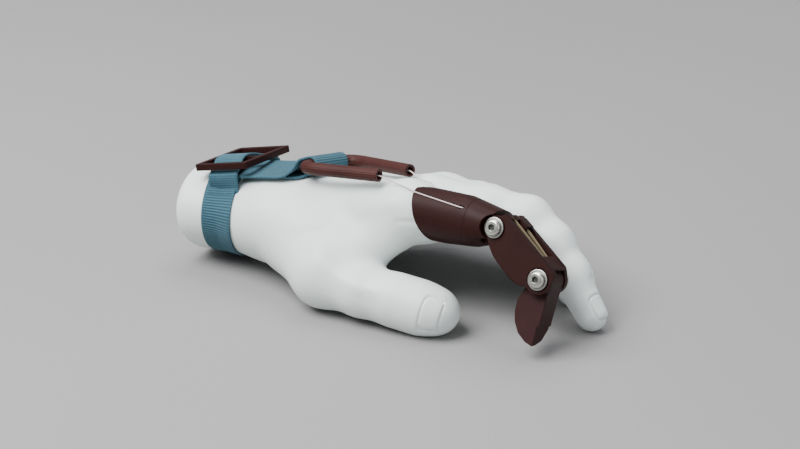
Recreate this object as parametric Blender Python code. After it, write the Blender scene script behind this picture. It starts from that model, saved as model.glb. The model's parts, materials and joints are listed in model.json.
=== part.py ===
"""Body-powered index finger prosthesis on a display hand.

A rigid display hand (left, palm down, on a table) wears a printed index finger: a wrist strap
with a slide buckle, a dorsal strap to a line yoke, two flexor lines, a cuff on the index stump,
a middle link and a fingertip. Lengths are in millimetres in the constants, metres in the scene.
+X runs from the wrist to the fingers, -Y is the thumb side, +Z is up, and z = 0 is the table.
"""
import bpy
import numpy as np
from math import pi, sin, cos, radians, sqrt, atan2, hypot
from mathutils import Matrix

for ob in list(bpy.data.objects):
    bpy.data.objects.remove(ob, do_unlink=True)

# ---------------------------------------------------------------- driving dimensions, mm
MM = 0.001
ORIGIN = (23.215, -56.780, 0.0)          # bottom centre of the whole object, in the drawing's coordinates
HAND_CELL = 4.4                 # facet size of the hand's surface
GAP = 0.3                       # clearance between pieces that touch

PIP = (83.0, -80.2, 44.1)       # middle of the first finger hinge
FINGER_YAW = 7.54               # degrees, finger turned towards the thumb
FINGER_ROLL = 21.48             # degrees, thumb side raised
LINK_REST = 34.3                # degrees, middle link below the cuff's axis at rest
LINK_LEN = 28.0                 # hinge to hinge
TONGUE_R = 4.7                  # hinge tongues of cuff and fingertip
TONGUE_HALF = 5.4
PLATE_IN, PLATE_OUT = 5.7, 8.5  # the middle link's side plates
SHANK_R = 2.0
BUSH_IN, BUSH_OUT = 2.3, 2.9
WASHER_R, WASHER_T = 4.2, 0.8
HEAD_R, HEAD_H = 3.7, 2.0
NUT_AF, NUT_H = 7.0, 3.2

WEB_W, WEB_T = 15.0, 1.0        # webbing of the wrist strap
DORSAL_W = 18.0                 # webbing of the dorsal strap
RING_C = (-51.8, -58.0, 21.5)   # middle of the wrist strap's ring
RING_YAW = 10.0

BUCKLE_C = (-46.95, -60.1, 45.95)
BUCKLE_W, BUCKLE_L, BUCKLE_BAR = 24.6, 31.2, 2.7   # bar centre to bar centre
CENTRE_Y = -4.0                 # the centre bar, from the buckle's middle

YOKE_C = (-7.25, -59.4, 49.7)    # middle of the yoke's crossbar
YOKE_DIR = (37.3, -10.08, 5.36)
YOKE_LAT = (0.28, 0.943, -0.178)
YOKE_TUBE_R, YOKE_BORE_R = 2.7, 1.5
YOKE_LEN = 39.0
LINE_R = 0.45
CORD_R = 0.85


# ---------------------------------------------------------------- frames
def unit(v):
    v = np.array(v, float)
    return v / np.linalg.norm(v)


def place(o, x, y, z):
    """4x4 placement, in metres, of a local frame given in the drawing's millimetres."""
    m = np.eye(4)
    m[:3, 0], m[:3, 1], m[:3, 2] = x, y, z
    m[:3, 3] = (np.array(o, float) - np.array(ORIGIN)) * MM
    return Matrix(m.tolist())


yaw, roll = radians(FINGER_YAW), radians(FINGER_ROLL)
FX = np.array([cos(yaw), -sin(yaw), 0.0])
FY = np.array([cos(roll) * sin(yaw), cos(roll) * cos(yaw), -sin(roll)])
FZ = np.cross(FX, FY)
LX = FX * cos(radians(LINK_REST)) - FZ * sin(radians(LINK_REST))
LZ = np.cross(LX, FY)
DIP = np.array(PIP) + LINK_LEN * LX
YX = unit(YOKE_DIR)
YY = np.array(YOKE_LAT) - (np.array(YOKE_LAT) @ YX) * YX
YY = unit(YY)
YZ = np.cross(YX, YY)
BX = unit((24.8, -2.2, 5.8))
BY = np.array((3.4, 32.3, -2.8))
BY = unit(BY - (BY @ BX) * BX)
BZ = np.cross(BX, BY)
RN = np.array([cos(radians(RING_YAW)), sin(radians(RING_YAW)), 0.0])   # ring plane's normal
RT = np.array([-sin(radians(RING_YAW)), cos(radians(RING_YAW)), 0.0])

IDENT = (np.array(ORIGIN, float), np.array([1., 0, 0]), np.array([0, 1., 0]), np.array([0, 0, 1.]))
FINGER = (np.array(PIP), FX, FY, FZ)
LINK = (np.array(PIP), LX, FY, LZ)
TIP = (DIP, FX, FY, FZ)
YOKE = (np.array(YOKE_C), YX, YY, YZ)
BUCKLE = (np.array(BUCKLE_C), BX, BY, BZ)


def to_world(frame, p):
    o, x, y, z = frame
    p = np.atleast_2d(p)
    return o + p[:, :1] * x + p[:, 1:2] * y + p[:, 2:] * z


def from_world(frame, p):
    o, x, y, z = frame
    q = np.atleast_2d(p) - o
    return np.stack([q @ x, q @ y, q @ z], 1)


# ---------------------------------------------------------------- materials and empties
def material(name, rgb, rough, metal=0.0):
    m = bpy.data.materials.new(name)
    m.use_nodes = True
    b = m.node_tree.nodes["Principled BSDF"]
    b.inputs["Base Color"].default_value = (*rgb, 1)
    b.inputs["Roughness"].default_value = rough
    b.inputs["Metallic"].default_value = metal
    m.diffuse_color = (*rgb, 1)
    return m


CAST = material("satin_white_cast", (0.72, 0.76, 0.75), 0.35)
PRINT = material("maroon_print", (0.075, 0.020, 0.018), 0.55)
WEBBING = material("blue_webbing", (0.075, 0.185, 0.235), 0.85)
NICKEL = material("nickel_steel", (0.55, 0.54, 0.50), 0.25, 1.0)
BRASS = material("sintered_bush", (0.45, 0.33, 0.16), 0.4, 1.0)
LINE = material("pale_line", (0.62, 0.52, 0.50), 0.4)
ELASTIC = material("tan_elastic", (0.30, 0.22, 0.13), 0.7)

EMPTIES = {}
for key, frame in (("table_origin", IDENT), ("pip_axis", FINGER), ("link_axis", LINK), ("dip_axis", TIP),
                   ("yoke_axis", YOKE), ("buckle_axis", BUCKLE)):
    e = bpy.data.objects.new(key, None)
    bpy.context.scene.collection.objects.link(e)
    e.empty_display_size = 0.01
    e.matrix_world = place(*frame)
    EMPTIES[key] = e
KEY = {id(IDENT): "table_origin", id(FINGER): "pip_axis", id(LINK): "link_axis", id(TIP): "dip_axis",
       id(YOKE): "yoke_axis", id(BUCKLE): "buckle_axis"}


# ---------------------------------------------------------------- mesh helpers
def add(name, verts, faces, mat, frame=IDENT, smooth=True):
    """One object from points in mm in its frame, parented to the frame's empty."""
    me = bpy.data.meshes.new(name)
    me.from_pydata([tuple(float(c) * MM for c in v) for v in verts], [], [tuple(int(i) for i in f) for f in faces])
    me.validate()
    ob = bpy.data.objects.new(name, me)
    bpy.context.scene.collection.objects.link(ob)
    if mat is not None:
        me.materials.append(mat)
    if smooth:
        me.shade_smooth()
        me.set_sharp_from_angle(angle=radians(35))
    ob.parent = EMPTIES[KEY[id(frame)]]
    return ob


def loft(rings, closed=False):
    """Faces between rings of equal length; the ends are capped unless the rings close on themselves."""
    n = len(rings[0])
    verts = [p for r in rings for p in r]
    faces = []
    m = len(rings)
    for k in range(m if closed else m - 1):
        a, b = k * n, ((k + 1) % m) * n
        for i in range(n):
            j = (i + 1) % n
            faces.append((a + i, b + i, b + j, a + j))
    if not closed:
        faces.append(tuple(range(n)))
        faces.append(tuple((m - 1) * n + i for i in reversed(range(n))))
    return verts, faces


def outward(verts, faces):
    """Flips all faces if the mesh is inside out."""
    v = np.array(verts, float)
    vol = 0.0
    for f in faces:
        for k in range(1, len(f) - 1):
            vol += v[f[0]] @ np.cross(v[f[k]], v[f[k + 1]])
    return [tuple(reversed(f)) for f in faces] if vol < 0 else faces


def prism(outline, y0, y1):
    """A side-view outline (x, z) extruded from y0 to y1."""
    rings = [[(x, y, z) for x, z in outline] for y in (y0, y1)]
    v, f = loft(rings)
    return v, outward(v, f)


def box(x0, x1, y0, y1, z0, z1):
    return prism([(x0, z0), (x1, z0), (x1, z1), (x0, z1)], y0, y1)


def arc(cx, cz, r, a0, a1, n):
    return [(cx + r * cos(radians(a0 + (a1 - a0) * k / n)), cz + r * sin(radians(a0 + (a1 - a0) * k / n))) for k in range(n + 1)]


def rod_y(x, z, r, y0, y1, n=24, turn=0.0):
    return prism([(x + r * cos(2 * pi * k / n + turn), z + r * sin(2 * pi * k / n + turn)) for k in range(n)], y0, y1)


def tube_along(path, r, sides=8, ref=(0, 0, 1)):
    """A round rod along a path, its section carried along without twisting."""
    p = np.array(path, float)
    t = np.gradient(p, axis=0)
    t /= np.linalg.norm(t, axis=1)[:, None]
    ref = np.array(ref, float)
    u = np.cross(t[0], ref)
    if np.linalg.norm(u) < 1e-3:
        u = np.cross(t[0], (1.0, 0, 0))
    u /= np.linalg.norm(u)
    rings = []
    for k in range(len(p)):
        u = u - (u @ t[k]) * t[k]
        u /= np.linalg.norm(u)
        w = np.cross(t[k], u)
        rings.append([p[k] + r * (cos(2 * pi * i / sides) * u + sin(2 * pi * i / sides) * w) for i in range(sides)])
    v, f = loft(rings)
    return v, outward(v, f)


def ring_y(x, z, r0, r1, y0, y1, n=24):
    """A washer or bush: r0 inside, r1 outside, from y0 to y1."""
    prof = [(r0, y0), (r1, y0), (r1, y1), (r0, y1)]
    rings = []
    for k in range(n):
        a = 2 * pi * k / n
        rings.append([(x + r * cos(a), y, z + r * sin(a)) for r, y in prof])
    v, f = loft(rings, closed=True)
    return v, outward(v, f)


def smooth_path(points, n):
    """Points spaced along a Catmull-Rom curve through the given ones."""
    p = np.array(points, float)
    q = np.vstack([2 * p[0] - p[1], p, 2 * p[-1] - p[-2]])
    out = []
    for k in range(len(p) - 1):
        a, b, c, d = q[k:k + 4]
        for i in range(8):
            t = i / 8
            out.append(0.5 * (2 * b + (c - a) * t + (2 * a - 5 * b + 4 * c - d) * t ** 2 + (3 * b - a - 3 * c + d) * t ** 3))
    out.append(p[-1])
    out = np.array(out)
    s = np.concatenate([[0], np.cumsum(np.linalg.norm(np.diff(out, axis=0), axis=1))])
    g = np.linspace(0, s[-1], n)
    return np.stack([np.interp(g, s, out[:, k]) for k in range(3)], 1)


def ribbon(path, lateral, width, thick, skew=False):
    """A flat strap along a path: lateral gives the direction across it; skew keeps it where the path slants."""
    p = np.array(path, float)
    t = np.gradient(p, axis=0)
    t /= np.linalg.norm(t, axis=1)[:, None]
    rings = []
    c = 0.3
    for k in range(len(p)):
        l = np.array(lateral[k], float)
        if not skew:
            l = l - (l @ t[k]) * t[k]
        l /= np.linalg.norm(l)
        n = unit(np.cross(t[k], l))
        w, h = width / 2, thick / 2
        rings.append([p[k] + l * a + n * b for a, b in ((-w, -h + c), (-w + c, -h), (w - c, -h), (w, -h + c),
                                                       (w, h - c), (w - c, h), (-w + c, h), (-w, h - c))])
    v, f = loft(rings)
    return v, outward(v, f)


def cutter(verts, faces, frame):
    ob = add("guide_%d" % len(bpy.data.objects), verts, faces, None, frame, smooth=False)
    ob.hide_render = True
    ob.display_type = 'WIRE'
    return ob


def boolean(ob, tool, op):
    m = ob.modifiers.new(op.lower(), 'BOOLEAN')
    m.operation = op
    m.solver = 'EXACT'
    m.object = tool


# ---------------------------------------------------------------- display hand
def cone(p, a, b, ra, rb, flat=None):
    """Distance to a limb with round ends, radius ra at a and rb at b; flat = (axis, factor) widens the section along axis."""
    a = np.array(a, float)
    b = np.array(b, float)
    ba = b - a
    l2 = ba @ ba
    pa = p - a
    h = np.clip((pa @ ba) / l2, 0, 1)
    d = pa - h[..., None] * ba
    if flat is not None:
        ax = np.array(flat[0], float)
        ax = ax - (ax @ ba) / l2 * ba
        ax /= np.linalg.norm(ax)
        d = d + ((d @ ax) * (flat[1] - 1))[..., None] * ax
    return np.sqrt((d * d).sum(-1)) - (ra + (rb - ra) * h)


def smin(a, b, k):
    h = np.clip(0.5 + 0.5 * (b - a) / k, 0, 1)
    return b + (a - b) * h - k * h * (1 - h)


def smax(a, b, k):
    return -smin(-a, -b, k)


def finger(p, joints, radii):
    d = cone(p, joints[0], joints[1], radii[0], radii[1])
    for k in range(1, len(joints) - 1):
        d = smin(d, cone(p, joints[k], joints[k + 1], radii[k], radii[k + 1]), 4)
    return d


def hand(p):
    """Distance to the surface of the display hand, in mm."""
    side = (0.1, 0.97, -0.22)
    wrist = cone(p, (-74, -58, 21.0), (-30, -58, 22.0), 18.7, 18.0, (side, 0.72))
    wrist = smax(wrist, -(p @ np.array([0.995, 0, 0.1])) - 73.6, 20)
    heel = cone(p, (-32, -58, 21.8), (-2, -58, 24.5), 17.8, 16.6, (side, 0.66))
    wrist = smin(wrist, heel, 8)
    meta_i = cone(p, (-20, -63, 26.8), (39, -74.5, 42.3), 14.6, 12.2)
    meta_m = cone(p, (-20, -54, 26.0), (40, -53.5, 38.2), 14.4, 11.6)
    meta_r = cone(p, (-20, -48, 23.6), (37, -34, 33), 13.6, 11.2)
    meta_l = cone(p, (-20, -44, 22), (29, -16, 25), 13.5, 10.3)
    d = smin(smin(meta_i, meta_m, 9), smin(meta_r, meta_l, 9), 9)
    d = smin(d, wrist, 12)
    d = smin(d, cone(p, (-16, -44, 15.2), (20, -26, 18.0), 13.2, 10.5), 12)
    d = smin(d, cone(p, (-20, -73, 24.5), (14, -93, 18), 13.5, 13.2), 14)
    d = smin(d, cone(p, (-8, -70, 24), (18, -82, 25), 14.5, 10), 12)
    thumb = smin(cone(p, (14, -95, 17.3), (39, -97.3, 13.6), 12.0, 10.3),
                 cone(p, (39, -97.3, 13.6), (55, -96, 11.9), 10.4, 11.1), 5)
    thumb = smin(thumb, cone(p, (55, -96, 11.8), (60, -95.5, 10.2), 11.0, 9.6), 3)
    d = smin(d, thumb, 8)
    d = smin(d, cone(p, (14, -84, 24), (30, -80, 34), 9, 8), 12)
    middle = finger(p, ((40, -53.5, 38), (84.6, -53.8, 39.4), (105, -61.3, 20.1), (116.4, -66.4, 6.3)), (11.2, 8.9, 7.8, 6.3))
    ring = finger(p, ((37, -34, 33), (76, -36.5, 31.5), (94, -43, 15.5), (101, -47.5, 6.3)), (10.8, 8.3, 7.3, 6.2))
    little = finger(p, ((29, -16, 25), (61, -17, 24.5), (77, -24, 13.5), (87, -30.5, 5.8)), (9.8, 7.4, 6.4, 5.7))
    stump = cone(p, (40, -74.8, 42.6), (60, -77.3, 43.0), 10.4, 8.6)
    for part in (middle, ring, little, stump):
        d = smin(d, part, 6)
    for a, b in (((50, -54, 35), (47, -35, 31)), ((47, -35, 30), (39, -18, 25)), ((48, -73, 36), (50, -55, 35))):
        d = smin(d, cone(p, a, b, 6.5, 6), 6)
    # the strap and yoke press a shallow dish into the back of the hand
    dish = np.exp(-((p[..., 0] + 8) ** 2 + (p[..., 1] + 58) ** 2) / 338)
    return d + 1.3 * dish * np.clip((p[..., 2] - 26) / 10, 0, 1)


def pieces(bits):
    """How many edge-connected groups the set corners of a cube fall into."""
    left = {c for c in range(8) if bits >> c & 1}
    n = 0
    while left:
        n += 1
        todo = [left.pop()]
        while todo:
            c = todo.pop()
            for b in (1, 2, 4):
                if c ^ b in left:
                    left.remove(c ^ b)
                    todo.append(c ^ b)
    return n


def untangle(f, h):
    """Fills the sample points that would pinch the surface, so that every cell holds one plain sheet."""
    bad = np.array([pieces(b) > 1 or pieces(255 - b) > 1 for b in range(256)])
    f = f.copy()
    for _ in range(40):
        s = f < 0
        code = np.zeros(tuple(np.array(f.shape) - 1), int)
        for c in range(8):
            i, j, k = c & 1, c >> 1 & 1, c >> 2 & 1
            code |= s[i:i + code.shape[0], j:j + code.shape[1], k:k + code.shape[2]].astype(int) << c
        cells = np.argwhere(bad[code])
        if not len(cells):
            return f
        for cell in cells:
            i, j, k = cell
            block = f[i:i + 2, j:j + 2, k:k + 2]
            out = np.where(block >= 0, block, 1e9)
            a, b, c = np.unravel_index(int(np.argmin(out)), (2, 2, 2))
            if out[a, b, c] < 1e8:
                f[i + a, j + b, k + c] = -0.02 * h
    return f


def nets(f, lo, h):
    """Closed quad mesh along the zero level of the samples f, by surface nets."""
    f = untangle(f, h)
    shp = np.array(f.shape) - 1
    acc = np.zeros(tuple(shp) + (3,))
    cnt = np.zeros(tuple(shp))
    edges = []
    for ax in range(3):
        s0 = [slice(None)] * 3
        s1 = [slice(None)] * 3
        s0[ax] = slice(0, -1)
        s1[ax] = slice(1, None)
        f0 = f[tuple(s0)]
        f1 = f[tuple(s1)]
        x = (f0 < 0) != (f1 < 0)
        idx = np.argwhere(x)
        g0 = f0[x]
        g1 = f1[x]
        pos = idx.astype(float)
        pos[:, ax] += g0 / (g0 - g1)
        o = [a for a in range(3) if a != ax]
        for d0 in (0, -1):
            for d1 in (0, -1):
                c = idx.copy()
                c[:, o[0]] += d0
                c[:, o[1]] += d1
                ok = ((c >= 0) & (c < shp)).all(1)
                np.add.at(acc, tuple(c[ok].T), pos[ok])
                np.add.at(cnt, tuple(c[ok].T), 1)
        edges.append((ax, o, idx, g0 < 0))
    m = cnt > 0
    num = -np.ones(m.shape, int)
    num[m] = np.arange(m.sum())
    verts = acc[m] / cnt[m][:, None] * h + np.array(lo)
    quads = []
    for ax, o, idx, neg in edges:
        ok = (idx[:, o[0]] > 0) & (idx[:, o[1]] > 0) & (idx[:, o[0]] <= shp[o[0]] - 1) & (idx[:, o[1]] <= shp[o[1]] - 1)
        i = idx[ok]
        flip = neg[ok] if ax != 1 else ~neg[ok]
        q = []
        for d0, d1 in ((-1, -1), (0, -1), (0, 0), (-1, 0)):
            c = i.copy()
            c[:, o[0]] += d0
            c[:, o[1]] += d1
            q.append(num[tuple(c.T)])
        q = np.stack(q, 1)
        q[~flip] = q[~flip][:, ::-1]
        quads.append(q)
    return verts, np.concatenate(quads)


def surface(fun, lo, hi, h, steps=3):
    """Quad mesh of fun = 0 inside the box lo..hi with cell size h, its points pulled onto the surface."""
    lo = np.array(lo, float)
    n = np.ceil((np.array(hi) - lo) / h).astype(int) + 1
    ax = [lo[k] + h * np.arange(n[k]) for k in range(3)]
    g = np.stack(np.meshgrid(*ax, indexing='ij'), -1)
    v, q = nets(fun(g.reshape(-1, 3)).reshape(n), lo, h)
    for _ in range(steps):
        e = 0.05
        d = fun(v)
        grad = np.stack([(fun(v + np.eye(3)[k] * e) - fun(v - np.eye(3)[k] * e)) / (2 * e) for k in range(3)], -1)
        st = -(d / np.maximum((grad * grad).sum(-1), 0.25))[:, None] * grad
        ln = np.linalg.norm(st, axis=1)
        v = v + st * np.minimum(1, 0.4 * h / np.maximum(ln, 1e-9))[:, None]
    return v, q


def cuff_rim(z):
    """Where the cuff's open end lies, along the finger, at height z."""
    return -36.3 - 0.32 * z + (0.025 * z * z if z < 0 else 0.0)


def cuff_ring(x_of, n, inset=0.0):
    """One section of the cuff: a rounded D with a flatter top. x_of(z) gives the section's place."""
    pts = []
    for k in range(n):
        a = 2 * pi * k / n
        x = x_of(0.0)
        top = np.interp(x, (-42, -30, -16, -3, 3), (9.0, 9.6, 9.9, 7.3, 6.2)) - inset
        low = np.interp(x, (-36, -28, -12, -3, 3), (-11.6, -11.3, -9.9, -7.2, -6.0)) + inset
        half = np.interp(x, (-38, -16, 2), (12.0, 11.6, 11.0)) - inset
        s, c = sin(a), cos(a)
        y = -half * (abs(c) ** 0.8) * (1 if c >= 0 else -1)
        z = top * abs(s) ** 0.86 if s >= 0 else low * abs(s) ** 0.86
        if z > 0:
            z = min(z, top - 0.035 * abs(y) ** 1.5)
        pts.append((x_of(z), y, z))
    return pts


def cuff_solid(x_end, n, steps, inset=0.0, lead=0.0):
    """The cuff's body from its slanted rim (moved out by lead) to x_end, inset all round."""
    rings = []
    for k in range(steps + 1):
        s = k / steps
        rings.append(cuff_ring(lambda z, s=s: (cuff_rim(z) - lead) * (1 - s) + x_end * s, n, inset))
    v, f = loft(rings)
    f = f[:-2]
    for first, turn in ((0, 1), (steps * n, -1)):       # each end is closed by flat strips from side to side
        for i in range(n // 2):
            a, b, c, d = [first + (n // 4 + j) % n for j in (-i, i, i + 1, -i - 1)]
            strip = [a, b, c, d] if a != b else [a, c, d]
            if c == d:
                strip = [a, b, c]
            f.append(tuple(strip[::turn]))
    return v, outward(v, f)


verts, quads = surface(hand, (-100, -125, -6), (140, 15, 70), HAND_CELL)
verts = verts - np.array(ORIGIN)
display_hand = add("display_hand", verts, quads, CAST, IDENT)
# seat of the cuff: an annular recess round the stump
seat_v, seat_f = cuff_solid(12.0, 32, 6, -0.7, 0.5)
seat = cutter(seat_v, seat_f, FINGER)
core_v, core_f = cuff_solid(-14.4, 32, 5, 2.7, 9.0)
core = cutter(core_v, core_f, FINGER)
boolean(seat, core, 'DIFFERENCE')
boolean(display_hand, seat, 'DIFFERENCE')
table = cutter(*box(-140, 140, -120, 120, -20, 0.0), IDENT)
boolean(display_hand, table, 'DIFFERENCE')

# ---------------------------------------------------------------- wrist strap
def wrist_ring(off, across, n):
    """Points round the wrist, off mm above the skin, across mm along the forearm."""
    pts = []
    c = np.array(RING_C) + across * RN
    r = np.linspace(10, 42, 321)
    for k in range(n):
        a = 2 * pi * k / n
        d = RT * cos(a) + np.array([0, 0, 1.0]) * sin(a)
        p = c + r[:, None] * d
        h = hand(p)
        i = int(np.argmax(h > 0))
        rad = r[i - 1] + (r[i] - r[i - 1]) * (-h[i - 1]) / (h[i] - h[i - 1])
        pts.append((rad, d))
    rad = np.array([q[0] for q in pts])
    rad = np.maximum(rad, (rad + np.roll(rad, 1) + np.roll(rad, -1)) / 3)
    return [c + (rad[k] + off) * pts[k][1] for k in range(n)]


NR = 48
ACROSS = (-WEB_W / 2, 0.0, WEB_W / 2)
inner = [wrist_ring(0.42, a, NR) for a in ACROSS]
outer = [wrist_ring(0.42 + WEB_T, a, NR) for a in ACROSS]
rings = [[r[k] - np.array(ORIGIN) for r in inner + outer[::-1]] for k in range(NR)]
v, f = loft(rings, closed=True)
add("wrist_strap", v, outward(v, f), WEBBING, IDENT)

# the strap's end: a second layer from the stitched fold on the thumb side, under the near bar,
# over the centre bar, under the far bar and down to the far side
layer = 0.42 + WEB_T + GAP + WEB_T / 2 + 0.1
mids = [wrist_ring(layer, a, 180) for a in (0.0, -WEB_W / 2, WEB_W / 2)]


def clear_mid(k):
    """The second layer's middle at step k, far enough out for its edges too."""
    out = [np.linalg.norm(m[k] - np.array(RING_C) - a * RN) for m, a in zip(mids, (0.0, -WEB_W / 2, WEB_W / 2))]
    d = mids[0][k] - np.array(RING_C)
    return np.array(RING_C) + d / np.linalg.norm(d) * max(out)


hold_pts = [(-0.2, -19.4, -4.9), (-0.8, -16.9, -2.95), (-0.9, -14.3, -2.3), (-1.1, -11.8, -0.7), (-1.4, -8.6, 1.35), (-1.7, -5.8, 2.25),
            (-1.8, -4.0, 2.45), (-2.0, -2.2, 2.3), (-2.2, 1.5, 1.6), (-2.5, 6.0, 0.1), (-2.7, 10.5, -1.4), (-2.8, 13.6, -2.25),
            (-2.9, 15.6, -2.45), (-3.0, 17.4, -2.95), (-3.2, 19.6, -5.0), (-3.4, 21.2, -7.8)]
near_run = [clear_mid(k) for k in (72, 70, 68)]
path = smooth_path(near_run + list(to_world(BUCKLE, hold_pts)), 46)
hold = np.clip((from_world(BUCKLE, path)[:, 1] + 22) / 4, 0, 1)       # 1 where the bars set its tilt
v, f = ribbon(path - np.array(ORIGIN), [unit(RN * (1 - w) + BX * w) for w in hold], WEB_W, WEB_T, skew=True)
add("buckle_strap", v, f, WEBBING, IDENT)

# ---------------------------------------------------------------- slide buckle
def slab(x0, x1, y0, y1, z0, z1, r=0.0, n=4):
    if r > 0:
        pts = []
        for cx, cy, a in ((x1 - r, y1 - r, 0), (x0 + r, y1 - r, 90), (x0 + r, y0 + r, 180), (x1 - r, y0 + r, 270)):
            pts += arc(cx, cy, r, a, a + 90, n)
    else:
        pts = [(x0, y0), (x1, y0), (x1, y1), (x0, y1)]
    rings = [[(x, y, z) for x, y in pts] for z in (z0, z1)]
    v, f = loft(rings)
    return v, outward(v, f)


hw, hl, hb = BUCKLE_W / 2, BUCKLE_L / 2, BUCKLE_BAR / 2
buckle = add("slide_buckle", *slab(-hw - hb, hw + hb, -hl - hb, hl + hb, -hb, hb, 1.6), PRINT, BUCKLE, smooth=False)
boolean(buckle, cutter(*slab(-hw + hb, hw - hb, -hl + hb, CENTRE_Y - 1.1, -5, 5), BUCKLE), 'DIFFERENCE')
boolean(buckle, cutter(*slab(-hw + hb, hw - hb, CENTRE_Y + 1.1, hl - hb, -5, 5), BUCKLE), 'DIFFERENCE')
bev = buckle.modifiers.new("edges", 'BEVEL')
bev.width = 0.7 * MM
bev.segments = 2
bev.limit_method = 'ANGLE'
bev.angle_limit = radians(50)

# ---------------------------------------------------------------- yoke
YOKE_HALF = [(39.0, 9.7), (29.0, 11.4), (19.0, 13.1), (9.8, 14.7), (7.0, 15.0), (4.6, 14.8), (2.4, 13.9), (0.9, 12.3), (0.15, 10.2), (0.0, 7.8)]
ypath = [(x, -y, 0.0) for x, y in YOKE_HALF] + [(0.0, 0.0, 0.0)] + [(x, y, 0.0) for x, y in reversed(YOKE_HALF)]
yoke = add("line_yoke", *tube_along(ypath, YOKE_TUBE_R, 12), PRINT, YOKE)
for s in (-1, 1):
    end, back = np.array((39.0, 9.7 * s, 0.0)), np.array((19.0, 13.1 * s, 0.0))
    d = unit(end - back)
    boolean(yoke, cutter(*tube_along([end + d, end - 15 * d], YOKE_BORE_R, 12), YOKE), 'DIFFERENCE')
    side = "near" if s < 0 else "far"
    add("line_crimp_" + side, *tube_along([end - 10.5 * d, end - 13.5 * d], 1.15, 10), NICKEL, YOKE)
    add("line_stub_" + side, *tube_along([end - 10.2 * d, end + 0.1 * d], LINE_R, 8), LINE, YOKE)

# ---------------------------------------------------------------- dorsal strap, looped round the yoke's crossbar
top_layer = [(-41.3, -65.8, 43.8), (-38.0, -65.9, 44.3), (-31.0, -66.1, 45.5), (-24.0, -65.9, 46.6), (-18.5, -64.8, 48.1), (-13.8, -63.0, 50.9)]
loop_r = YOKE_TUBE_R + 0.45 + WEB_T / 2
yo = -0.6
loop = [(loop_r * cos(radians(a)), yo, loop_r * sin(radians(a))) for a in (105, 85, 60, 35, 10, -15, -40, -65, -85, -100)]
tail = [(-11.5, -62.3, 45.75), (-15.0, -63.4, 45.65), (-18.5, -64.3, 45.75)]
spath = smooth_path(top_layer + [tuple(p) for p in to_world(YOKE, loop)] + tail, 66)
lat0, lat1 = unit((-0.05, 0.995, 0.02)), YY
cum = np.concatenate([[0], np.cumsum(np.linalg.norm(np.diff(spath, axis=0), axis=1))])
lats = [unit(lat0 * (1 - w) + lat1 * w) for w in np.clip((cum - 10) / 20, 0, 1)]
flat = unit((0.27, 0.955, -0.05))                 # the tail lies flat on the hand
lats = [unit(l * (1 - w) + flat * w) for l, w in zip(lats, np.clip((cum - cum[-1] + 14) / 6, 0, 1))]
v, f = ribbon(spath - np.array(ORIGIN), lats, DORSAL_W, WEB_T, skew=True)
add("dorsal_strap", v, f, WEBBING, IDENT)

# ---------------------------------------------------------------- cuff
cuff = add("finger_cuff", *cuff_solid(-1.4, 40, 12), PRINT, FINGER)
tongue = arc(0, 0, TONGUE_R, -90, 90, 12) + [(-9.0, TONGUE_R), (-9.0, -TONGUE_R)]
boolean(cuff, cutter(*prism(tongue, -7.0, 7.0), FINGER), 'UNION')
boolean(cuff, cutter(*rod_y(0, 0, BUSH_OUT + GAP, -9, 9, 20, 0.03), FINGER), 'DIFFERENCE')
boolean(cuff, cutter(*cuff_solid(-14.5, 32, 5, 1.9, 9.0), FINGER), 'DIFFERENCE')
for s in (-1, 1):
    y0, y1 = sorted((s * TONGUE_HALF, s * (PLATE_OUT + 0.35)))
    boolean(cuff, cutter(*box(-7.3, 6.0, y0, y1, -20, 5.6), FINGER), 'DIFFERENCE')
    y0, y1 = sorted((s * 6.4, s * 16.0))
    boolean(cuff, cutter(*rod_y(0, 0, 5.25, y0, y1, 28, 0.05), FINGER), 'DIFFERENCE')


def cuff_skin(x, z, s):
    """Lateral place of the cuff's outer surface at (x, z) on side s."""
    top = np.interp(x, (-42, -30, -16, -3, 3), (9.0, 9.6, 9.9, 7.3, 6.2))
    half = np.interp(x, (-38, -16, 2), (12.0, 11.6, 11.0))
    sn = (z / top) ** (1 / 0.86)
    return s * half * sqrt(1 - sn * sn) ** 0.8


def line_on_cuff(s):
    """The flexor line's run in the cuff's groove, then into its hole."""
    z0, z1 = (6.6, 4.9) if s < 0 else (7.0, 5.4)
    pts = []
    for k in range(5):
        w = k / 4
        x, z = -38.6 * (1 - w) - 16.2 * w, z0 * (1 - w) + z1 * w
        pts.append((x, cuff_skin(x, z, s) - s * 0.15, z))
    e = pts[-1]
    return pts + [(-14.6, e[1] - s * 0.7, e[2] - 0.1)]


GROOVES = {}
for s, side in ((-1, "near"), (1, "far")):
    run = line_on_cuff(s)
    GROOVES[side] = run
    first = np.array(run[0]) + 4 * unit(np.array(run[0]) - np.array(run[1]))
    boolean(cuff, cutter(*tube_along([tuple(first)] + run[:-1] + [(-12.9, run[-1][1] - s * 1.3, run[-1][2] - 0.4)], LINE_R + 0.4, 8), FINGER), 'DIFFERENCE')

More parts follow.
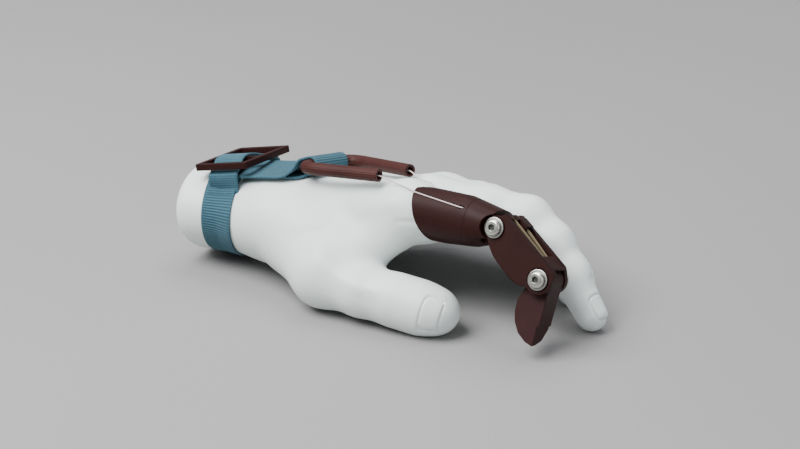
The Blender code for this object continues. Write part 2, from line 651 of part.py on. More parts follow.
# ---------------------------------------------------------------- flexor lines
for s, side in ((-1, "near"), (1, "far")):
    end, back = np.array((39.0, 9.7 * s, 0.0)), np.array((19.0, 13.1 * s, 0.0))
    d = unit(end - back)
    a = to_world(YOKE, [end + 0.6 * d, end + 2.2 * d])      # carries on from the stub inside the yoke
    b = to_world(FINGER, GROOVES[side])
    w = np.array([a[1] * (1 - t) + b[0] * t for t in (0.25, 0.5, 0.75)])
    for _ in range(12):            # the line lies over the knuckle where it would cut into it
        h = hand(w)
        g = np.stack([(hand(w + np.eye(3)[k] * 0.1) - hand(w - np.eye(3)[k] * 0.1)) / 0.2 for k in range(3)], 1)
        w = w + g * np.maximum(0, LINE_R + 0.5 - h)[:, None]
    path = smooth_path(np.vstack([a, w, b]), 34)
    add("flexor_line_" + side, *tube_along(path - np.array(ORIGIN), LINE_R, 8), LINE, IDENT)
    dip = np.array([q for q, fx in zip(path, from_world(FINGER, path)[:, 0]) if -50 < fx < -30])
    if hand(dip).min() < LINE_R + 0.2:      # it beds into the knuckle just before the cuff
        boolean(display_hand, cutter(*tube_along(dip - np.array(ORIGIN), LINE_R + 0.4, 8), IDENT), 'DIFFERENCE')

# ---------------------------------------------------------------- middle link
outline = [(-0.6, 7.0)] + arc(0, 0, 4.9, 106, 275, 14) + [(3.2, -6.4), (7.3, -7.9), (13.0, -8.5), (20.0, -8.6), (24.5, -7.3)]
outline += [(LINK_LEN + x, z) for x, z in arc(0, 0, 5.9, -108, 30, 12)] + [(LINK_LEN + 4.2, 5.6), (LINK_LEN + 2.0, 6.8)]
link = add("middle_link", *prism(outline, -PLATE_OUT, -PLATE_IN), PRINT, LINK)
far_outline = [(x, z) for x, z in outline]
boolean(link, cutter(*prism(far_outline, PLATE_IN, PLATE_OUT), LINK), 'UNION')
web = [(8.0, -4.0), (17.5, -4.0), (17.5, 1.0), (8.0, 1.0)]
boolean(link, cutter(*prism(web, -PLATE_IN - 1, PLATE_IN + 1), LINK), 'UNION')
near_bridge = [(-0.5, 5.3), (2.2, 5.3), (2.2, 7.2), (-0.5, 7.2)]
boolean(link, cutter(*prism(near_bridge, -PLATE_IN - 1, PLATE_IN + 1), LINK), 'UNION')
far_bridge = [(21.6, 3.4), (24.6, 3.4), (26.2, 5.4), (28.4, 5.6), (28.4, 6.7), (21.6, 6.7)]
boolean(link, cutter(*prism(far_bridge, -PLATE_IN - 1, PLATE_IN + 1), LINK), 'UNION')
for x in (0.0, LINK_LEN):
    boolean(link, cutter(*rod_y(x, 0, SHANK_R + GAP, -12, 12, 20, 0.07), LINK), 'DIFFERENCE')
    for s in (-1, 1):
        y0, y1 = sorted((s * (PLATE_OUT - 0.5), s * 12.0))
        boolean(link, cutter(*rod_y(x, 0, WASHER_R + 0.5, y0, y1, 28, 0.04), LINK), 'DIFFERENCE')
CORD_RUN = [(-0.3, 6.5), (5.0, 6.35), (12.0, 5.95), (19.0, 5.45), (25.2, 4.95)]
for s in (-1, 1):
    pts = [(x, 2.7 * s, z) for x, z in CORD_RUN]
    long = [(-3.0, 2.7 * s, 6.6)] + pts[:-1] + [(30.0, 2.7 * s, 4.6)]
    boolean(link, cutter(*tube_along(long, CORD_R + 0.35, 10), LINK), 'DIFFERENCE')
    add("elastic_cord_" + ("near" if s < 0 else "far"), *tube_along(smooth_path(pts, 12), CORD_R, 8), ELASTIC, LINK)

# ---------------------------------------------------------------- fingertip
tip_outline = arc(0, 0, TONGUE_R, -20, 210, 16) + [(-6.8, -5.8), (-8.3, -9.5), (-8.5, -14.5), (-7.6, -18.4), (-5.3, -22.4), (-1.6, -25.2), (1.5, -26.2), (1.9, -23.5), (2.3, -18.4), (3.0, -17.8), (3.8, -6.0)]
tip = add("fingertip", *prism(tip_outline, -TONGUE_HALF, TONGUE_HALF), PRINT, TIP)
boolean(tip, cutter(*rod_y(0, 0, BUSH_OUT + GAP, -9, 9, 20, 0.03), TIP), 'DIFFERENCE')
# ---------------------------------------------------------------- hinge hardware
for key, x, frame in (("pip", 0.0, LINK), ("dip", LINK_LEN, LINK)):
    y_floor = PLATE_OUT - 0.5
    wn0, wn1 = y_floor + GAP, y_floor + GAP + WASHER_T
    add(key + "_washer_near", *ring_y(x, 0, SHANK_R + GAP, WASHER_R, -wn1, -wn0), NICKEL, frame)
    add(key + "_washer_far", *ring_y(x, 0, SHANK_R + GAP, WASHER_R, wn0, wn1), NICKEL, frame)
    h0 = wn1 + GAP
    n = 24
    prof = [(HEAD_R, -h0), (HEAD_R, -h0 - 0.5), (HEAD_R * 0.93, -h0 - 1.1), (HEAD_R * 0.75, -h0 - 1.6), (HEAD_R * 0.45, -h0 - HEAD_H)]
    rings = []
    shank_end = h0 + NUT_H + 0.8
    for r, y in [(SHANK_R, shank_end), (SHANK_R, -h0)] + prof:
        rings.append([(x + r * cos(2 * pi * k / n), y, r * sin(2 * pi * k / n)) for k in range(n)])
    v, f = loft(rings)
    screw = add(key + "_screw", v, outward(v, f), NICKEL, frame)
    hexa = rod_y(x, 0, 1.25 / cos(radians(30)), -h0 - HEAD_H - 1, -h0 - 0.7, 6, radians(15))
    boolean(screw, cutter(*hexa, frame), 'DIFFERENCE')
    nut = add(key + "_nut", *rod_y(x, 0, NUT_AF / 2 / cos(radians(30)), h0, h0 + NUT_H, 6, radians(10)), NICKEL, frame)
    boolean(nut, cutter(*rod_y(x, 0, SHANK_R + GAP, h0 - 2, h0 + NUT_H + 2, 20), frame), 'DIFFERENCE')
add("pip_bush", *ring_y(0, 0, BUSH_IN, BUSH_OUT, -TONGUE_HALF, TONGUE_HALF), BRASS, FINGER)
add("dip_bush", *ring_y(0, 0, BUSH_IN, BUSH_OUT, -TONGUE_HALF, TONGUE_HALF), BRASS, TIP)
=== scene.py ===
"""Looks of the index finger prosthesis on its display hand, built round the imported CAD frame."""
import json
import bmesh
import bpy
import numpy as np
from math import pi, sin, cos, radians, sqrt, atan2, hypot
from mathutils import Matrix, Vector

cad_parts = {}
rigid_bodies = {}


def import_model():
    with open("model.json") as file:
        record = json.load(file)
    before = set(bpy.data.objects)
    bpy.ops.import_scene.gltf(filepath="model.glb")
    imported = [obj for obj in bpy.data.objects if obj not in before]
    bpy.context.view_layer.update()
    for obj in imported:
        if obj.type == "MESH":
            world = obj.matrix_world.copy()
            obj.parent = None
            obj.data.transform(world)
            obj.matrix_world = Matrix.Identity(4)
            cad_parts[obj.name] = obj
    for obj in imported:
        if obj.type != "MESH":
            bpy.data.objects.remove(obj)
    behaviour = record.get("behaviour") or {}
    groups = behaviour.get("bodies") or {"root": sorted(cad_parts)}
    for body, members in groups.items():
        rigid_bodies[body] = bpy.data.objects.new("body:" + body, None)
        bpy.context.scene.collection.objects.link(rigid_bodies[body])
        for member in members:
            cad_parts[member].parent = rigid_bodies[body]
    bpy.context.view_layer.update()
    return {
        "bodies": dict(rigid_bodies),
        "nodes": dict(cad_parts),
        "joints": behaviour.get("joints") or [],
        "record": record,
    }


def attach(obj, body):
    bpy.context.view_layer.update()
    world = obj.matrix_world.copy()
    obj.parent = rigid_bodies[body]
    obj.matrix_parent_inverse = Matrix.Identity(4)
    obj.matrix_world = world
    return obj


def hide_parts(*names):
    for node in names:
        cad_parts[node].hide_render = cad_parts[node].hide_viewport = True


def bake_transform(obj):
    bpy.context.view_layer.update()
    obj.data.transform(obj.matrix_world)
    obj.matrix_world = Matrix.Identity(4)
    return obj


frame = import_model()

# ---------------------------------------------------------------- dimensions and frames, mm
MM = 0.001
ORIGIN = (23.215, -56.780, 0.0)          # bottom centre of the whole object, in the drawing's coordinates
GAP = 0.3                       # clearance between pieces that touch

PIP = (83.0, -80.2, 44.1)       # middle of the first finger hinge
FINGER_YAW = 7.54               # degrees, finger turned towards the thumb
FINGER_ROLL = 21.48             # degrees, thumb side raised
LINK_REST = 34.3                # degrees, middle link below the cuff's axis at rest
LINK_LEN = 28.0                 # hinge to hinge
TONGUE_R = 4.7                  # hinge tongues of cuff and fingertip
TONGUE_HALF = 5.4
PLATE_IN, PLATE_OUT = 5.7, 8.5  # the middle link's side plates
SHANK_R = 2.0
BUSH_IN, BUSH_OUT = 2.3, 2.9
WASHER_R, WASHER_T = 4.2, 0.8
HEAD_R, HEAD_H = 3.7, 2.0
NUT_AF, NUT_H = 7.0, 3.2

WEB_W, WEB_T = 15.0, 1.0        # webbing of the wrist strap
DORSAL_W = 18.0                 # webbing of the dorsal strap
RING_C = (-51.8, -58.0, 21.5)   # middle of the wrist strap's ring
RING_YAW = 10.0

BUCKLE_C = (-46.95, -60.1, 45.95)
BUCKLE_W, BUCKLE_L, BUCKLE_BAR = 24.6, 31.2, 2.7   # bar centre to bar centre
CENTRE_Y = -4.0                 # the centre bar, from the buckle's middle

YOKE_C = (-7.25, -59.4, 49.7)    # middle of the yoke's crossbar
YOKE_DIR = (37.3, -10.08, 5.36)
YOKE_LAT = (0.28, 0.943, -0.178)
YOKE_TUBE_R, YOKE_BORE_R = 2.7, 1.5
YOKE_LEN = 39.0
LINE_R = 0.45
CORD_R = 0.85

def unit(v):
    v = np.array(v, float)
    return v / np.linalg.norm(v)

yaw, roll = radians(FINGER_YAW), radians(FINGER_ROLL)
FX = np.array([cos(yaw), -sin(yaw), 0.0])
FY = np.array([cos(roll) * sin(yaw), cos(roll) * cos(yaw), -sin(roll)])
FZ = np.cross(FX, FY)
LX = FX * cos(radians(LINK_REST)) - FZ * sin(radians(LINK_REST))
LZ = np.cross(LX, FY)
DIP = np.array(PIP) + LINK_LEN * LX
YX = unit(YOKE_DIR)
YY = np.array(YOKE_LAT) - (np.array(YOKE_LAT) @ YX) * YX
YY = unit(YY)
YZ = np.cross(YX, YY)
BX = unit((24.8, -2.2, 5.8))
BY = np.array((3.4, 32.3, -2.8))
BY = unit(BY - (BY @ BX) * BX)
BZ = np.cross(BX, BY)
RN = np.array([cos(radians(RING_YAW)), sin(radians(RING_YAW)), 0.0])   # ring plane's normal
RT = np.array([-sin(radians(RING_YAW)), cos(radians(RING_YAW)), 0.0])

IDENT = (np.array(ORIGIN, float), np.array([1., 0, 0]), np.array([0, 1., 0]), np.array([0, 0, 1.]))
FINGER = (np.array(PIP), FX, FY, FZ)
LINK = (np.array(PIP), LX, FY, LZ)
TIP = (DIP, FX, FY, FZ)
YOKE = (np.array(YOKE_C), YX, YY, YZ)
BUCKLE = (np.array(BUCKLE_C), BX, BY, BZ)

def to_world(frame, p):
    o, x, y, z = frame
    p = np.atleast_2d(p)
    return o + p[:, :1] * x + p[:, 1:2] * y + p[:, 2:] * z


def from_world(frame, p):
    o, x, y, z = frame
    q = np.atleast_2d(p) - o
    return np.stack([q @ x, q @ y, q @ z], 1)

O3 = np.array(ORIGIN)


def loft(rings, closed=False):
    """Faces between rings of equal length; the ends are capped unless the rings close on themselves."""
    n = len(rings[0])
    verts = [p for r in rings for p in r]
    faces = []
    m = len(rings)
    for k in range(m if closed else m - 1):
        a, b = k * n, ((k + 1) % m) * n
        for i in range(n):
            j = (i + 1) % n
            faces.append((a + i, b + i, b + j, a + j))
    if not closed:
        faces.append(tuple(range(n)))
        faces.append(tuple((m - 1) * n + i for i in reversed(range(n))))
    return verts, faces


def outward(verts, faces):
    """Flips all faces if the mesh is inside out."""
    v = np.array(verts, float)
    vol = 0.0
    for f in faces:
        for k in range(1, len(f) - 1):
            vol += v[f[0]] @ np.cross(v[f[k]], v[f[k + 1]])
    return [tuple(reversed(f)) for f in faces] if vol < 0 else faces


def prism(outline, y0, y1):
    """A side-view outline (x, z) extruded from y0 to y1."""
    rings = [[(x, y, z) for x, z in outline] for y in (y0, y1)]
    v, f = loft(rings)
    return v, outward(v, f)


def box(x0, x1, y0, y1, z0, z1):
    return prism([(x0, z0), (x1, z0), (x1, z1), (x0, z1)], y0, y1)


def arc(cx, cz, r, a0, a1, n):
    return [(cx + r * cos(radians(a0 + (a1 - a0) * k / n)), cz + r * sin(radians(a0 + (a1 - a0) * k / n))) for k in range(n + 1)]


def rod_y(x, z, r, y0, y1, n=24, turn=0.0):
    return prism([(x + r * cos(2 * pi * k / n + turn), z + r * sin(2 * pi * k / n + turn)) for k in range(n)], y0, y1)


def tube_along(path, r, sides=8, ref=(0, 0, 1)):
    """A round rod along a path, its section carried along without twisting."""
    p = np.array(path, float)
    t = np.gradient(p, axis=0)
    t /= np.linalg.norm(t, axis=1)[:, None]
    ref = np.array(ref, float)
    u = np.cross(t[0], ref)
    if np.linalg.norm(u) < 1e-3:
        u = np.cross(t[0], (1.0, 0, 0))
    u /= np.linalg.norm(u)
    rings = []
    for k in range(len(p)):
        u = u - (u @ t[k]) * t[k]
        u /= np.linalg.norm(u)
        w = np.cross(t[k], u)
        rings.append([p[k] + r * (cos(2 * pi * i / sides) * u + sin(2 * pi * i / sides) * w) for i in range(sides)])
    v, f = loft(rings)
    return v, outward(v, f)


def ring_y(x, z, r0, r1, y0, y1, n=24):
    """A washer or bush: r0 inside, r1 outside, from y0 to y1."""
    prof = [(r0, y0), (r1, y0), (r1, y1), (r0, y1)]
    rings = []
    for k in range(n):
        a = 2 * pi * k / n
        rings.append([(x + r * cos(a), y, z + r * sin(a)) for r, y in prof])
    v, f = loft(rings, closed=True)
    return v, outward(v, f)


def smooth_path(points, n):
    """Points spaced along a Catmull-Rom curve through the given ones."""
    p = np.array(points, float)
    q = np.vstack([2 * p[0] - p[1], p, 2 * p[-1] - p[-2]])
    out = []
    for k in range(len(p) - 1):
        a, b, c, d = q[k:k + 4]
        for i in range(8):
            t = i / 8
            out.append(0.5 * (2 * b + (c - a) * t + (2 * a - 5 * b + 4 * c - d) * t ** 2 + (3 * b - a - 3 * c + d) * t ** 3))
    out.append(p[-1])
    out = np.array(out)
    s = np.concatenate([[0], np.cumsum(np.linalg.norm(np.diff(out, axis=0), axis=1))])
    g = np.linspace(0, s[-1], n)
    return np.stack([np.interp(g, s, out[:, k]) for k in range(3)], 1)

# ---------------------------------------------------------------- display hand
def cone(p, a, b, ra, rb, flat=None):
    """Distance to a limb with round ends, radius ra at a and rb at b; flat = (axis, factor) widens the section along axis."""
    a = np.array(a, float)
    b = np.array(b, float)
    ba = b - a
    l2 = ba @ ba
    pa = p - a
    h = np.clip((pa @ ba) / l2, 0, 1)
    d = pa - h[..., None] * ba
    if flat is not None:
        ax = np.array(flat[0], float)
        ax = ax - (ax @ ba) / l2 * ba
        ax /= np.linalg.norm(ax)
        d = d + ((d @ ax) * (flat[1] - 1))[..., None] * ax
    return np.sqrt((d * d).sum(-1)) - (ra + (rb - ra) * h)


def smin(a, b, k):
    h = np.clip(0.5 + 0.5 * (b - a) / k, 0, 1)
    return b + (a - b) * h - k * h * (1 - h)


def smax(a, b, k):
    return -smin(-a, -b, k)


def finger(p, joints, radii):
    d = cone(p, joints[0], joints[1], radii[0], radii[1])
    for k in range(1, len(joints) - 1):
        d = smin(d, cone(p, joints[k], joints[k + 1], radii[k], radii[k + 1]), 4)
    return d


def hand(p):
    """Distance to the surface of the display hand, in mm."""
    side = (0.1, 0.97, -0.22)
    wrist = cone(p, (-74, -58, 21.0), (-30, -58, 22.0), 18.7, 18.0, (side, 0.72))
    wrist = smax(wrist, -(p @ np.array([0.995, 0, 0.1])) - 73.6, 20)
    heel = cone(p, (-32, -58, 21.8), (-2, -58, 24.5), 17.8, 16.6, (side, 0.66))
    wrist = smin(wrist, heel, 8)
    meta_i = cone(p, (-20, -63, 26.8), (39, -74.5, 42.3), 14.6, 12.2)
    meta_m = cone(p, (-20, -54, 26.0), (40, -53.5, 38.2), 14.4, 11.6)
    meta_r = cone(p, (-20, -48, 23.6), (37, -34, 33), 13.6, 11.2)
    meta_l = cone(p, (-20, -44, 22), (29, -16, 25), 13.5, 10.3)
    d = smin(smin(meta_i, meta_m, 9), smin(meta_r, meta_l, 9), 9)
    d = smin(d, wrist, 12)
    d = smin(d, cone(p, (-16, -44, 15.2), (20, -26, 18.0), 13.2, 10.5), 12)
    d = smin(d, cone(p, (-20, -73, 24.5), (14, -93, 18), 13.5, 13.2), 14)
    d = smin(d, cone(p, (-8, -70, 24), (18, -82, 25), 14.5, 10), 12)
    thumb = smin(cone(p, (14, -95, 17.3), (39, -97.3, 13.6), 12.0, 10.3),
                 cone(p, (39, -97.3, 13.6), (55, -96, 11.9), 10.4, 11.1), 5)
    thumb = smin(thumb, cone(p, (55, -96, 11.8), (60, -95.5, 10.2), 11.0, 9.6), 3)
    d = smin(d, thumb, 8)
    d = smin(d, cone(p, (14, -84, 24), (30, -80, 34), 9, 8), 12)
    middle = finger(p, ((40, -53.5, 38), (84.6, -53.8, 39.4), (105, -61.3, 20.1), (116.4, -66.4, 6.3)), (11.2, 8.9, 7.8, 6.3))
    ring = finger(p, ((37, -34, 33), (76, -36.5, 31.5), (94, -43, 15.5), (101, -47.5, 6.3)), (10.8, 8.3, 7.3, 6.2))
    little = finger(p, ((29, -16, 25), (61, -17, 24.5), (77, -24, 13.5), (87, -30.5, 5.8)), (9.8, 7.4, 6.4, 5.7))
    stump = cone(p, (40, -74.8, 42.6), (60, -77.3, 43.0), 10.4, 8.6)
    for part in (middle, ring, little, stump):
        d = smin(d, part, 6)
    for a, b in (((50, -54, 35), (47, -35, 31)), ((47, -35, 30), (39, -18, 25)), ((48, -73, 36), (50, -55, 35))):
        d = smin(d, cone(p, a, b, 6.5, 6), 6)
    # the strap and yoke press a shallow dish into the back of the hand
    dish = np.exp(-((p[..., 0] + 8) ** 2 + (p[..., 1] + 58) ** 2) / 338)
    return d + 1.3 * dish * np.clip((p[..., 2] - 26) / 10, 0, 1)


def pieces(bits):
    """How many edge-connected groups the set corners of a cube fall into."""
    left = {c for c in range(8) if bits >> c & 1}
    n = 0
    while left:
        n += 1
        todo = [left.pop()]
        while todo:
            c = todo.pop()
            for b in (1, 2, 4):
                if c ^ b in left:
                    left.remove(c ^ b)
                    todo.append(c ^ b)
    return n


def untangle(f, h):
    """Fills the sample points that would pinch the surface, so that every cell holds one plain sheet."""
    bad = np.array([pieces(b) > 1 or pieces(255 - b) > 1 for b in range(256)])
    f = f.copy()
    for _ in range(40):
        s = f < 0
        code = np.zeros(tuple(np.array(f.shape) - 1), int)
        for c in range(8):
            i, j, k = c & 1, c >> 1 & 1, c >> 2 & 1
            code |= s[i:i + code.shape[0], j:j + code.shape[1], k:k + code.shape[2]].astype(int) << c
        cells = np.argwhere(bad[code])
        if not len(cells):
            return f
        for cell in cells:
            i, j, k = cell
            block = f[i:i + 2, j:j + 2, k:k + 2]
            out = np.where(block >= 0, block, 1e9)
            a, b, c = np.unravel_index(int(np.argmin(out)), (2, 2, 2))
            if out[a, b, c] < 1e8:
                f[i + a, j + b, k + c] = -0.02 * h
    return f


def nets(f, lo, h):
    """Closed quad mesh along the zero level of the samples f, by surface nets."""
    f = untangle(f, h)
    shp = np.array(f.shape) - 1
    acc = np.zeros(tuple(shp) + (3,))
    cnt = np.zeros(tuple(shp))
    edges = []
    for ax in range(3):
        s0 = [slice(None)] * 3
        s1 = [slice(None)] * 3
        s0[ax] = slice(0, -1)
        s1[ax] = slice(1, None)
        f0 = f[tuple(s0)]
        f1 = f[tuple(s1)]
        x = (f0 < 0) != (f1 < 0)
        idx = np.argwhere(x)
        g0 = f0[x]
        g1 = f1[x]
        pos = idx.astype(float)
        pos[:, ax] += g0 / (g0 - g1)
        o = [a for a in range(3) if a != ax]
        for d0 in (0, -1):
            for d1 in (0, -1):
                c = idx.copy()
                c[:, o[0]] += d0
                c[:, o[1]] += d1
                ok = ((c >= 0) & (c < shp)).all(1)
                np.add.at(acc, tuple(c[ok].T), pos[ok])
                np.add.at(cnt, tuple(c[ok].T), 1)
        edges.append((ax, o, idx, g0 < 0))
    m = cnt > 0
    num = -np.ones(m.shape, int)
    num[m] = np.arange(m.sum())
    verts = acc[m] / cnt[m][:, None] * h + np.array(lo)
    quads = []
    for ax, o, idx, neg in edges:
        ok = (idx[:, o[0]] > 0) & (idx[:, o[1]] > 0) & (idx[:, o[0]] <= shp[o[0]] - 1) & (idx[:, o[1]] <= shp[o[1]] - 1)
        i = idx[ok]
        flip = neg[ok] if ax != 1 else ~neg[ok]
        q = []
        for d0, d1 in ((-1, -1), (0, -1), (0, 0), (-1, 0)):
            c = i.copy()
            c[:, o[0]] += d0
            c[:, o[1]] += d1
            q.append(num[tuple(c.T)])
        q = np.stack(q, 1)
        q[~flip] = q[~flip][:, ::-1]
        quads.append(q)
    return verts, np.concatenate(quads)


def surface(fun, lo, hi, h, steps=3):
    """Quad mesh of fun = 0 inside the box lo..hi with cell size h, its points pulled onto the surface."""
    lo = np.array(lo, float)
    n = np.ceil((np.array(hi) - lo) / h).astype(int) + 1
    ax = [lo[k] + h * np.arange(n[k]) for k in range(3)]
    g = np.stack(np.meshgrid(*ax, indexing='ij'), -1)
    v, q = nets(fun(g.reshape(-1, 3)).reshape(n), lo, h)
    for _ in range(steps):
        e = 0.05
        d = fun(v)
        grad = np.stack([(fun(v + np.eye(3)[k] * e) - fun(v - np.eye(3)[k] * e)) / (2 * e) for k in range(3)], -1)
        st = -(d / np.maximum((grad * grad).sum(-1), 0.25))[:, None] * grad
        ln = np.linalg.norm(st, axis=1)
        v = v + st * np.minimum(1, 0.4 * h / np.maximum(ln, 1e-9))[:, None]
    return v, q


def cuff_rim(z):
    """Where the cuff's open end lies, along the finger, at height z."""
    return -36.3 - 0.32 * z + (0.025 * z * z if z < 0 else 0.0)


def cuff_ring(x_of, n, inset=0.0):
    """One section of the cuff: a rounded D with a flatter top. x_of(z) gives the section's place."""
    pts = []
    for k in range(n):
        a = 2 * pi * k / n
        x = x_of(0.0)
        top = np.interp(x, (-42, -30, -16, -3, 3), (9.0, 9.6, 9.9, 7.3, 6.2)) - inset
        low = np.interp(x, (-36, -28, -12, -3, 3), (-11.6, -11.3, -9.9, -7.2, -6.0)) + inset
        half = np.interp(x, (-38, -16, 2), (12.0, 11.6, 11.0)) - inset
        s, c = sin(a), cos(a)
        y = -half * (abs(c) ** 0.8) * (1 if c >= 0 else -1)
        z = top * abs(s) ** 0.86 if s >= 0 else low * abs(s) ** 0.86
        if z > 0:
            z = min(z, top - 0.035 * abs(y) ** 1.5)
        pts.append((x_of(z), y, z))
    return pts


def cuff_solid(x_end, n, steps, inset=0.0, lead=0.0):
    """The cuff's body from its slanted rim (moved out by lead) to x_end, inset all round."""
    rings = []
    for k in range(steps + 1):
        s = k / steps
        rings.append(cuff_ring(lambda z, s=s: (cuff_rim(z) - lead) * (1 - s) + x_end * s, n, inset))
    v, f = loft(rings)
    f = f[:-2]
    for first, turn in ((0, 1), (steps * n, -1)):       # each end is closed by flat strips from side to side
        for i in range(n // 2):
            a, b, c, d = [first + (n // 4 + j) % n for j in (-i, i, i + 1, -i - 1)]
            strip = [a, b, c, d] if a != b else [a, c, d]
            if c == d:
                strip = [a, b, c]
            f.append(tuple(strip[::turn]))
    return v, outward(v, f)

def wrist_ring(off, across, n):
    """Points round the wrist, off mm above the skin, across mm along the forearm."""
    pts = []
    c = np.array(RING_C) + across * RN
    r = np.linspace(10, 42, 321)
    for k in range(n):
        a = 2 * pi * k / n
        d = RT * cos(a) + np.array([0, 0, 1.0]) * sin(a)
        p = c + r[:, None] * d
        h = hand(p)
        i = int(np.argmax(h > 0))
        rad = r[i - 1] + (r[i] - r[i - 1]) * (-h[i - 1]) / (h[i] - h[i - 1])
        pts.append((rad, d))
    rad = np.array([q[0] for q in pts])
    rad = np.maximum(rad, (rad + np.roll(rad, 1) + np.roll(rad, -1)) / 3)
    return [c + (rad[k] + off) * pts[k][1] for k in range(n)]


# ---------------------------------------------------------------- materials
def node_mat(name):
    m = bpy.data.materials.new(name)
    m.use_nodes = True
    nt = m.node_tree
    b = nt.nodes["Principled BSDF"]
    return m, nt, b


def new(nt, kind, **values):
    n = nt.nodes.new(kind)
    for k, v in values.items():
        setattr(n, k, v)
    return n


def setv(sock, v):
    sock.default_value = v


def math_node(nt, op, a, b=None, c=None):
    n = new(nt, "ShaderNodeMath", operation=op)
    for i, x in enumerate((a, b, c)):
        if x is None:
            continue
        if isinstance(x, (int, float)):
            n.inputs[i].default_value = x
        else:
            nt.links.new(x, n.inputs[i])
    return n.outputs[0]


def noise(nt, vec, scale, detail=3.0, rough=0.5):
    n = new(nt, "ShaderNodeTexNoise")
    n.inputs["Scale"].default_value = scale
    n.inputs["Detail"].default_value = detail
    n.inputs["Roughness"].default_value = rough
    if vec is not None:
        nt.links.new(vec, n.inputs["Vector"])
    return n.outputs["Fac"]


def ramp(nt, fac, stops):
    n = new(nt, "ShaderNodeValToRGB")
    e = n.color_ramp.elements
    e[0].position, e[0].color = stops[0][0], (*stops[0][1], 1)
    e[1].position, e[1].color = stops[-1][0], (*stops[-1][1], 1)
    for pos, col in stops[1:-1]:
        x = e.new(pos)
        x.color = (*col, 1)
    nt.links.new(fac, n.inputs["Fac"])
    return n.outputs["Color"]


def bump(nt, height, dist, strength=1.0, normal=None):
    n = new(nt, "ShaderNodeBump")
    n.inputs["Strength"].default_value = strength
    n.inputs["Distance"].default_value = dist
    nt.links.new(height, n.inputs["Height"])
    if normal is not None:
        nt.links.new(normal, n.inputs["Normal"])
    return n.outputs["Normal"]


def bevel_normal(nt, radius):
    n = new(nt, "ShaderNodeBevel", samples=6)
    n.inputs["Radius"].default_value = radius
    return n.outputs["Normal"]


def scaled(nt, vec, x, y, z, rot=(0, 0, 0)):
    n = new(nt, "ShaderNodeMapping")
    n.inputs["Scale"].default_value = (x, y, z)
    n.inputs["Rotation"].default_value = rot
    nt.links.new(vec, n.inputs["Vector"])
    return n.outputs["Vector"]


def cast_material():
    m, nt, b = node_mat("cast_white")
    co = new(nt, "ShaderNodeTexCoord").outputs["Object"]
    big = noise(nt, co, 22.0, 4.0, 0.55)
    fine = noise(nt, co, 900.0, 3.0, 0.6)
    mid = noise(nt, co, 160.0, 3.0, 0.5)
    col = ramp(nt, big, [(0.3, (0.76, 0.83, 0.81)), (0.5, (0.80, 0.865, 0.845)), (0.72, (0.835, 0.89, 0.87))])
    nt.links.new(col, b.inputs["Base Color"])
    r = math_node(nt, "MULTIPLY_ADD", mid, 0.16, 0.36)
    nt.links.new(r, b.inputs["Roughness"])
    b.inputs["Specular IOR Level"].default_value = 0.42
    b.inputs["Subsurface Weight"].default_value = 0.12
    b.inputs["Subsurface Radius"].default_value = (0.004, 0.004, 0.004)
    b.inputs["Subsurface Scale"].default_value = 0.5
    n1 = bump(nt, fine, 0.00004, 0.35)
    n2 = bump(nt, mid, 0.00025, 0.35, n1)
    nt.links.new(n2, b.inputs["Normal"])
    return m


def print_material(name, base, lit, rough, lines_mm=0.0, uv=False, bevel=0.0004):
    """Printed plastic: layer lines along the local uv or height, with a fine matte grain."""
    m, nt, b = node_mat(name)
    tc = new(nt, "ShaderNodeTexCoord")
    co = tc.outputs["Object"]
    big = noise(nt, co, 60.0, 4.0, 0.6)
    fine = noise(nt, co, 2600.0, 2.0, 0.6)
    if uv:
        sep = new(nt, "ShaderNodeSeparateXYZ")
        nt.links.new(tc.outputs["UV"], sep.inputs[0])
        run, across = sep.outputs[0], sep.outputs[1]
    else:
        sep = new(nt, "ShaderNodeSeparateXYZ")
        nt.links.new(co, sep.inputs[0])
        run, across = sep.outputs[0], math_node(nt, "MULTIPLY", sep.outputs[2], 1000.0)
    wob = math_node(nt, "MULTIPLY", noise(nt, co, 90.0, 2.0, 0.5), 0.5)
    ph = math_node(nt, "MULTIPLY", math_node(nt, "ADD", across, wob), 2 * pi / (lines_mm or 0.32))
    line = math_node(nt, "MULTIPLY_ADD", math_node(nt, "SINE", ph), 0.5, 0.5)
    mix = math_node(nt, "ADD", math_node(nt, "MULTIPLY", big, 0.75), math_node(nt, "MULTIPLY", line, 0.25 if lines_mm else 0.12))
    col = ramp(nt, mix, [(0.25, base), (0.75, lit)])
    nt.links.new(col, b.inputs["Base Color"])
    nt.links.new(math_node(nt, "MULTIPLY_ADD", big, 0.2, rough - 0.1), b.inputs["Roughness"])
    b.inputs["Specular IOR Level"].default_value = 0.15
    n0 = bevel_normal(nt, bevel)
    n1 = bump(nt, line, 0.00012 if lines_mm else 0.00003, 0.5, n0)
    n2 = bump(nt, fine, 0.00005, 0.5, n1)
    nt.links.new(n2, b.inputs["Normal"])
    return m


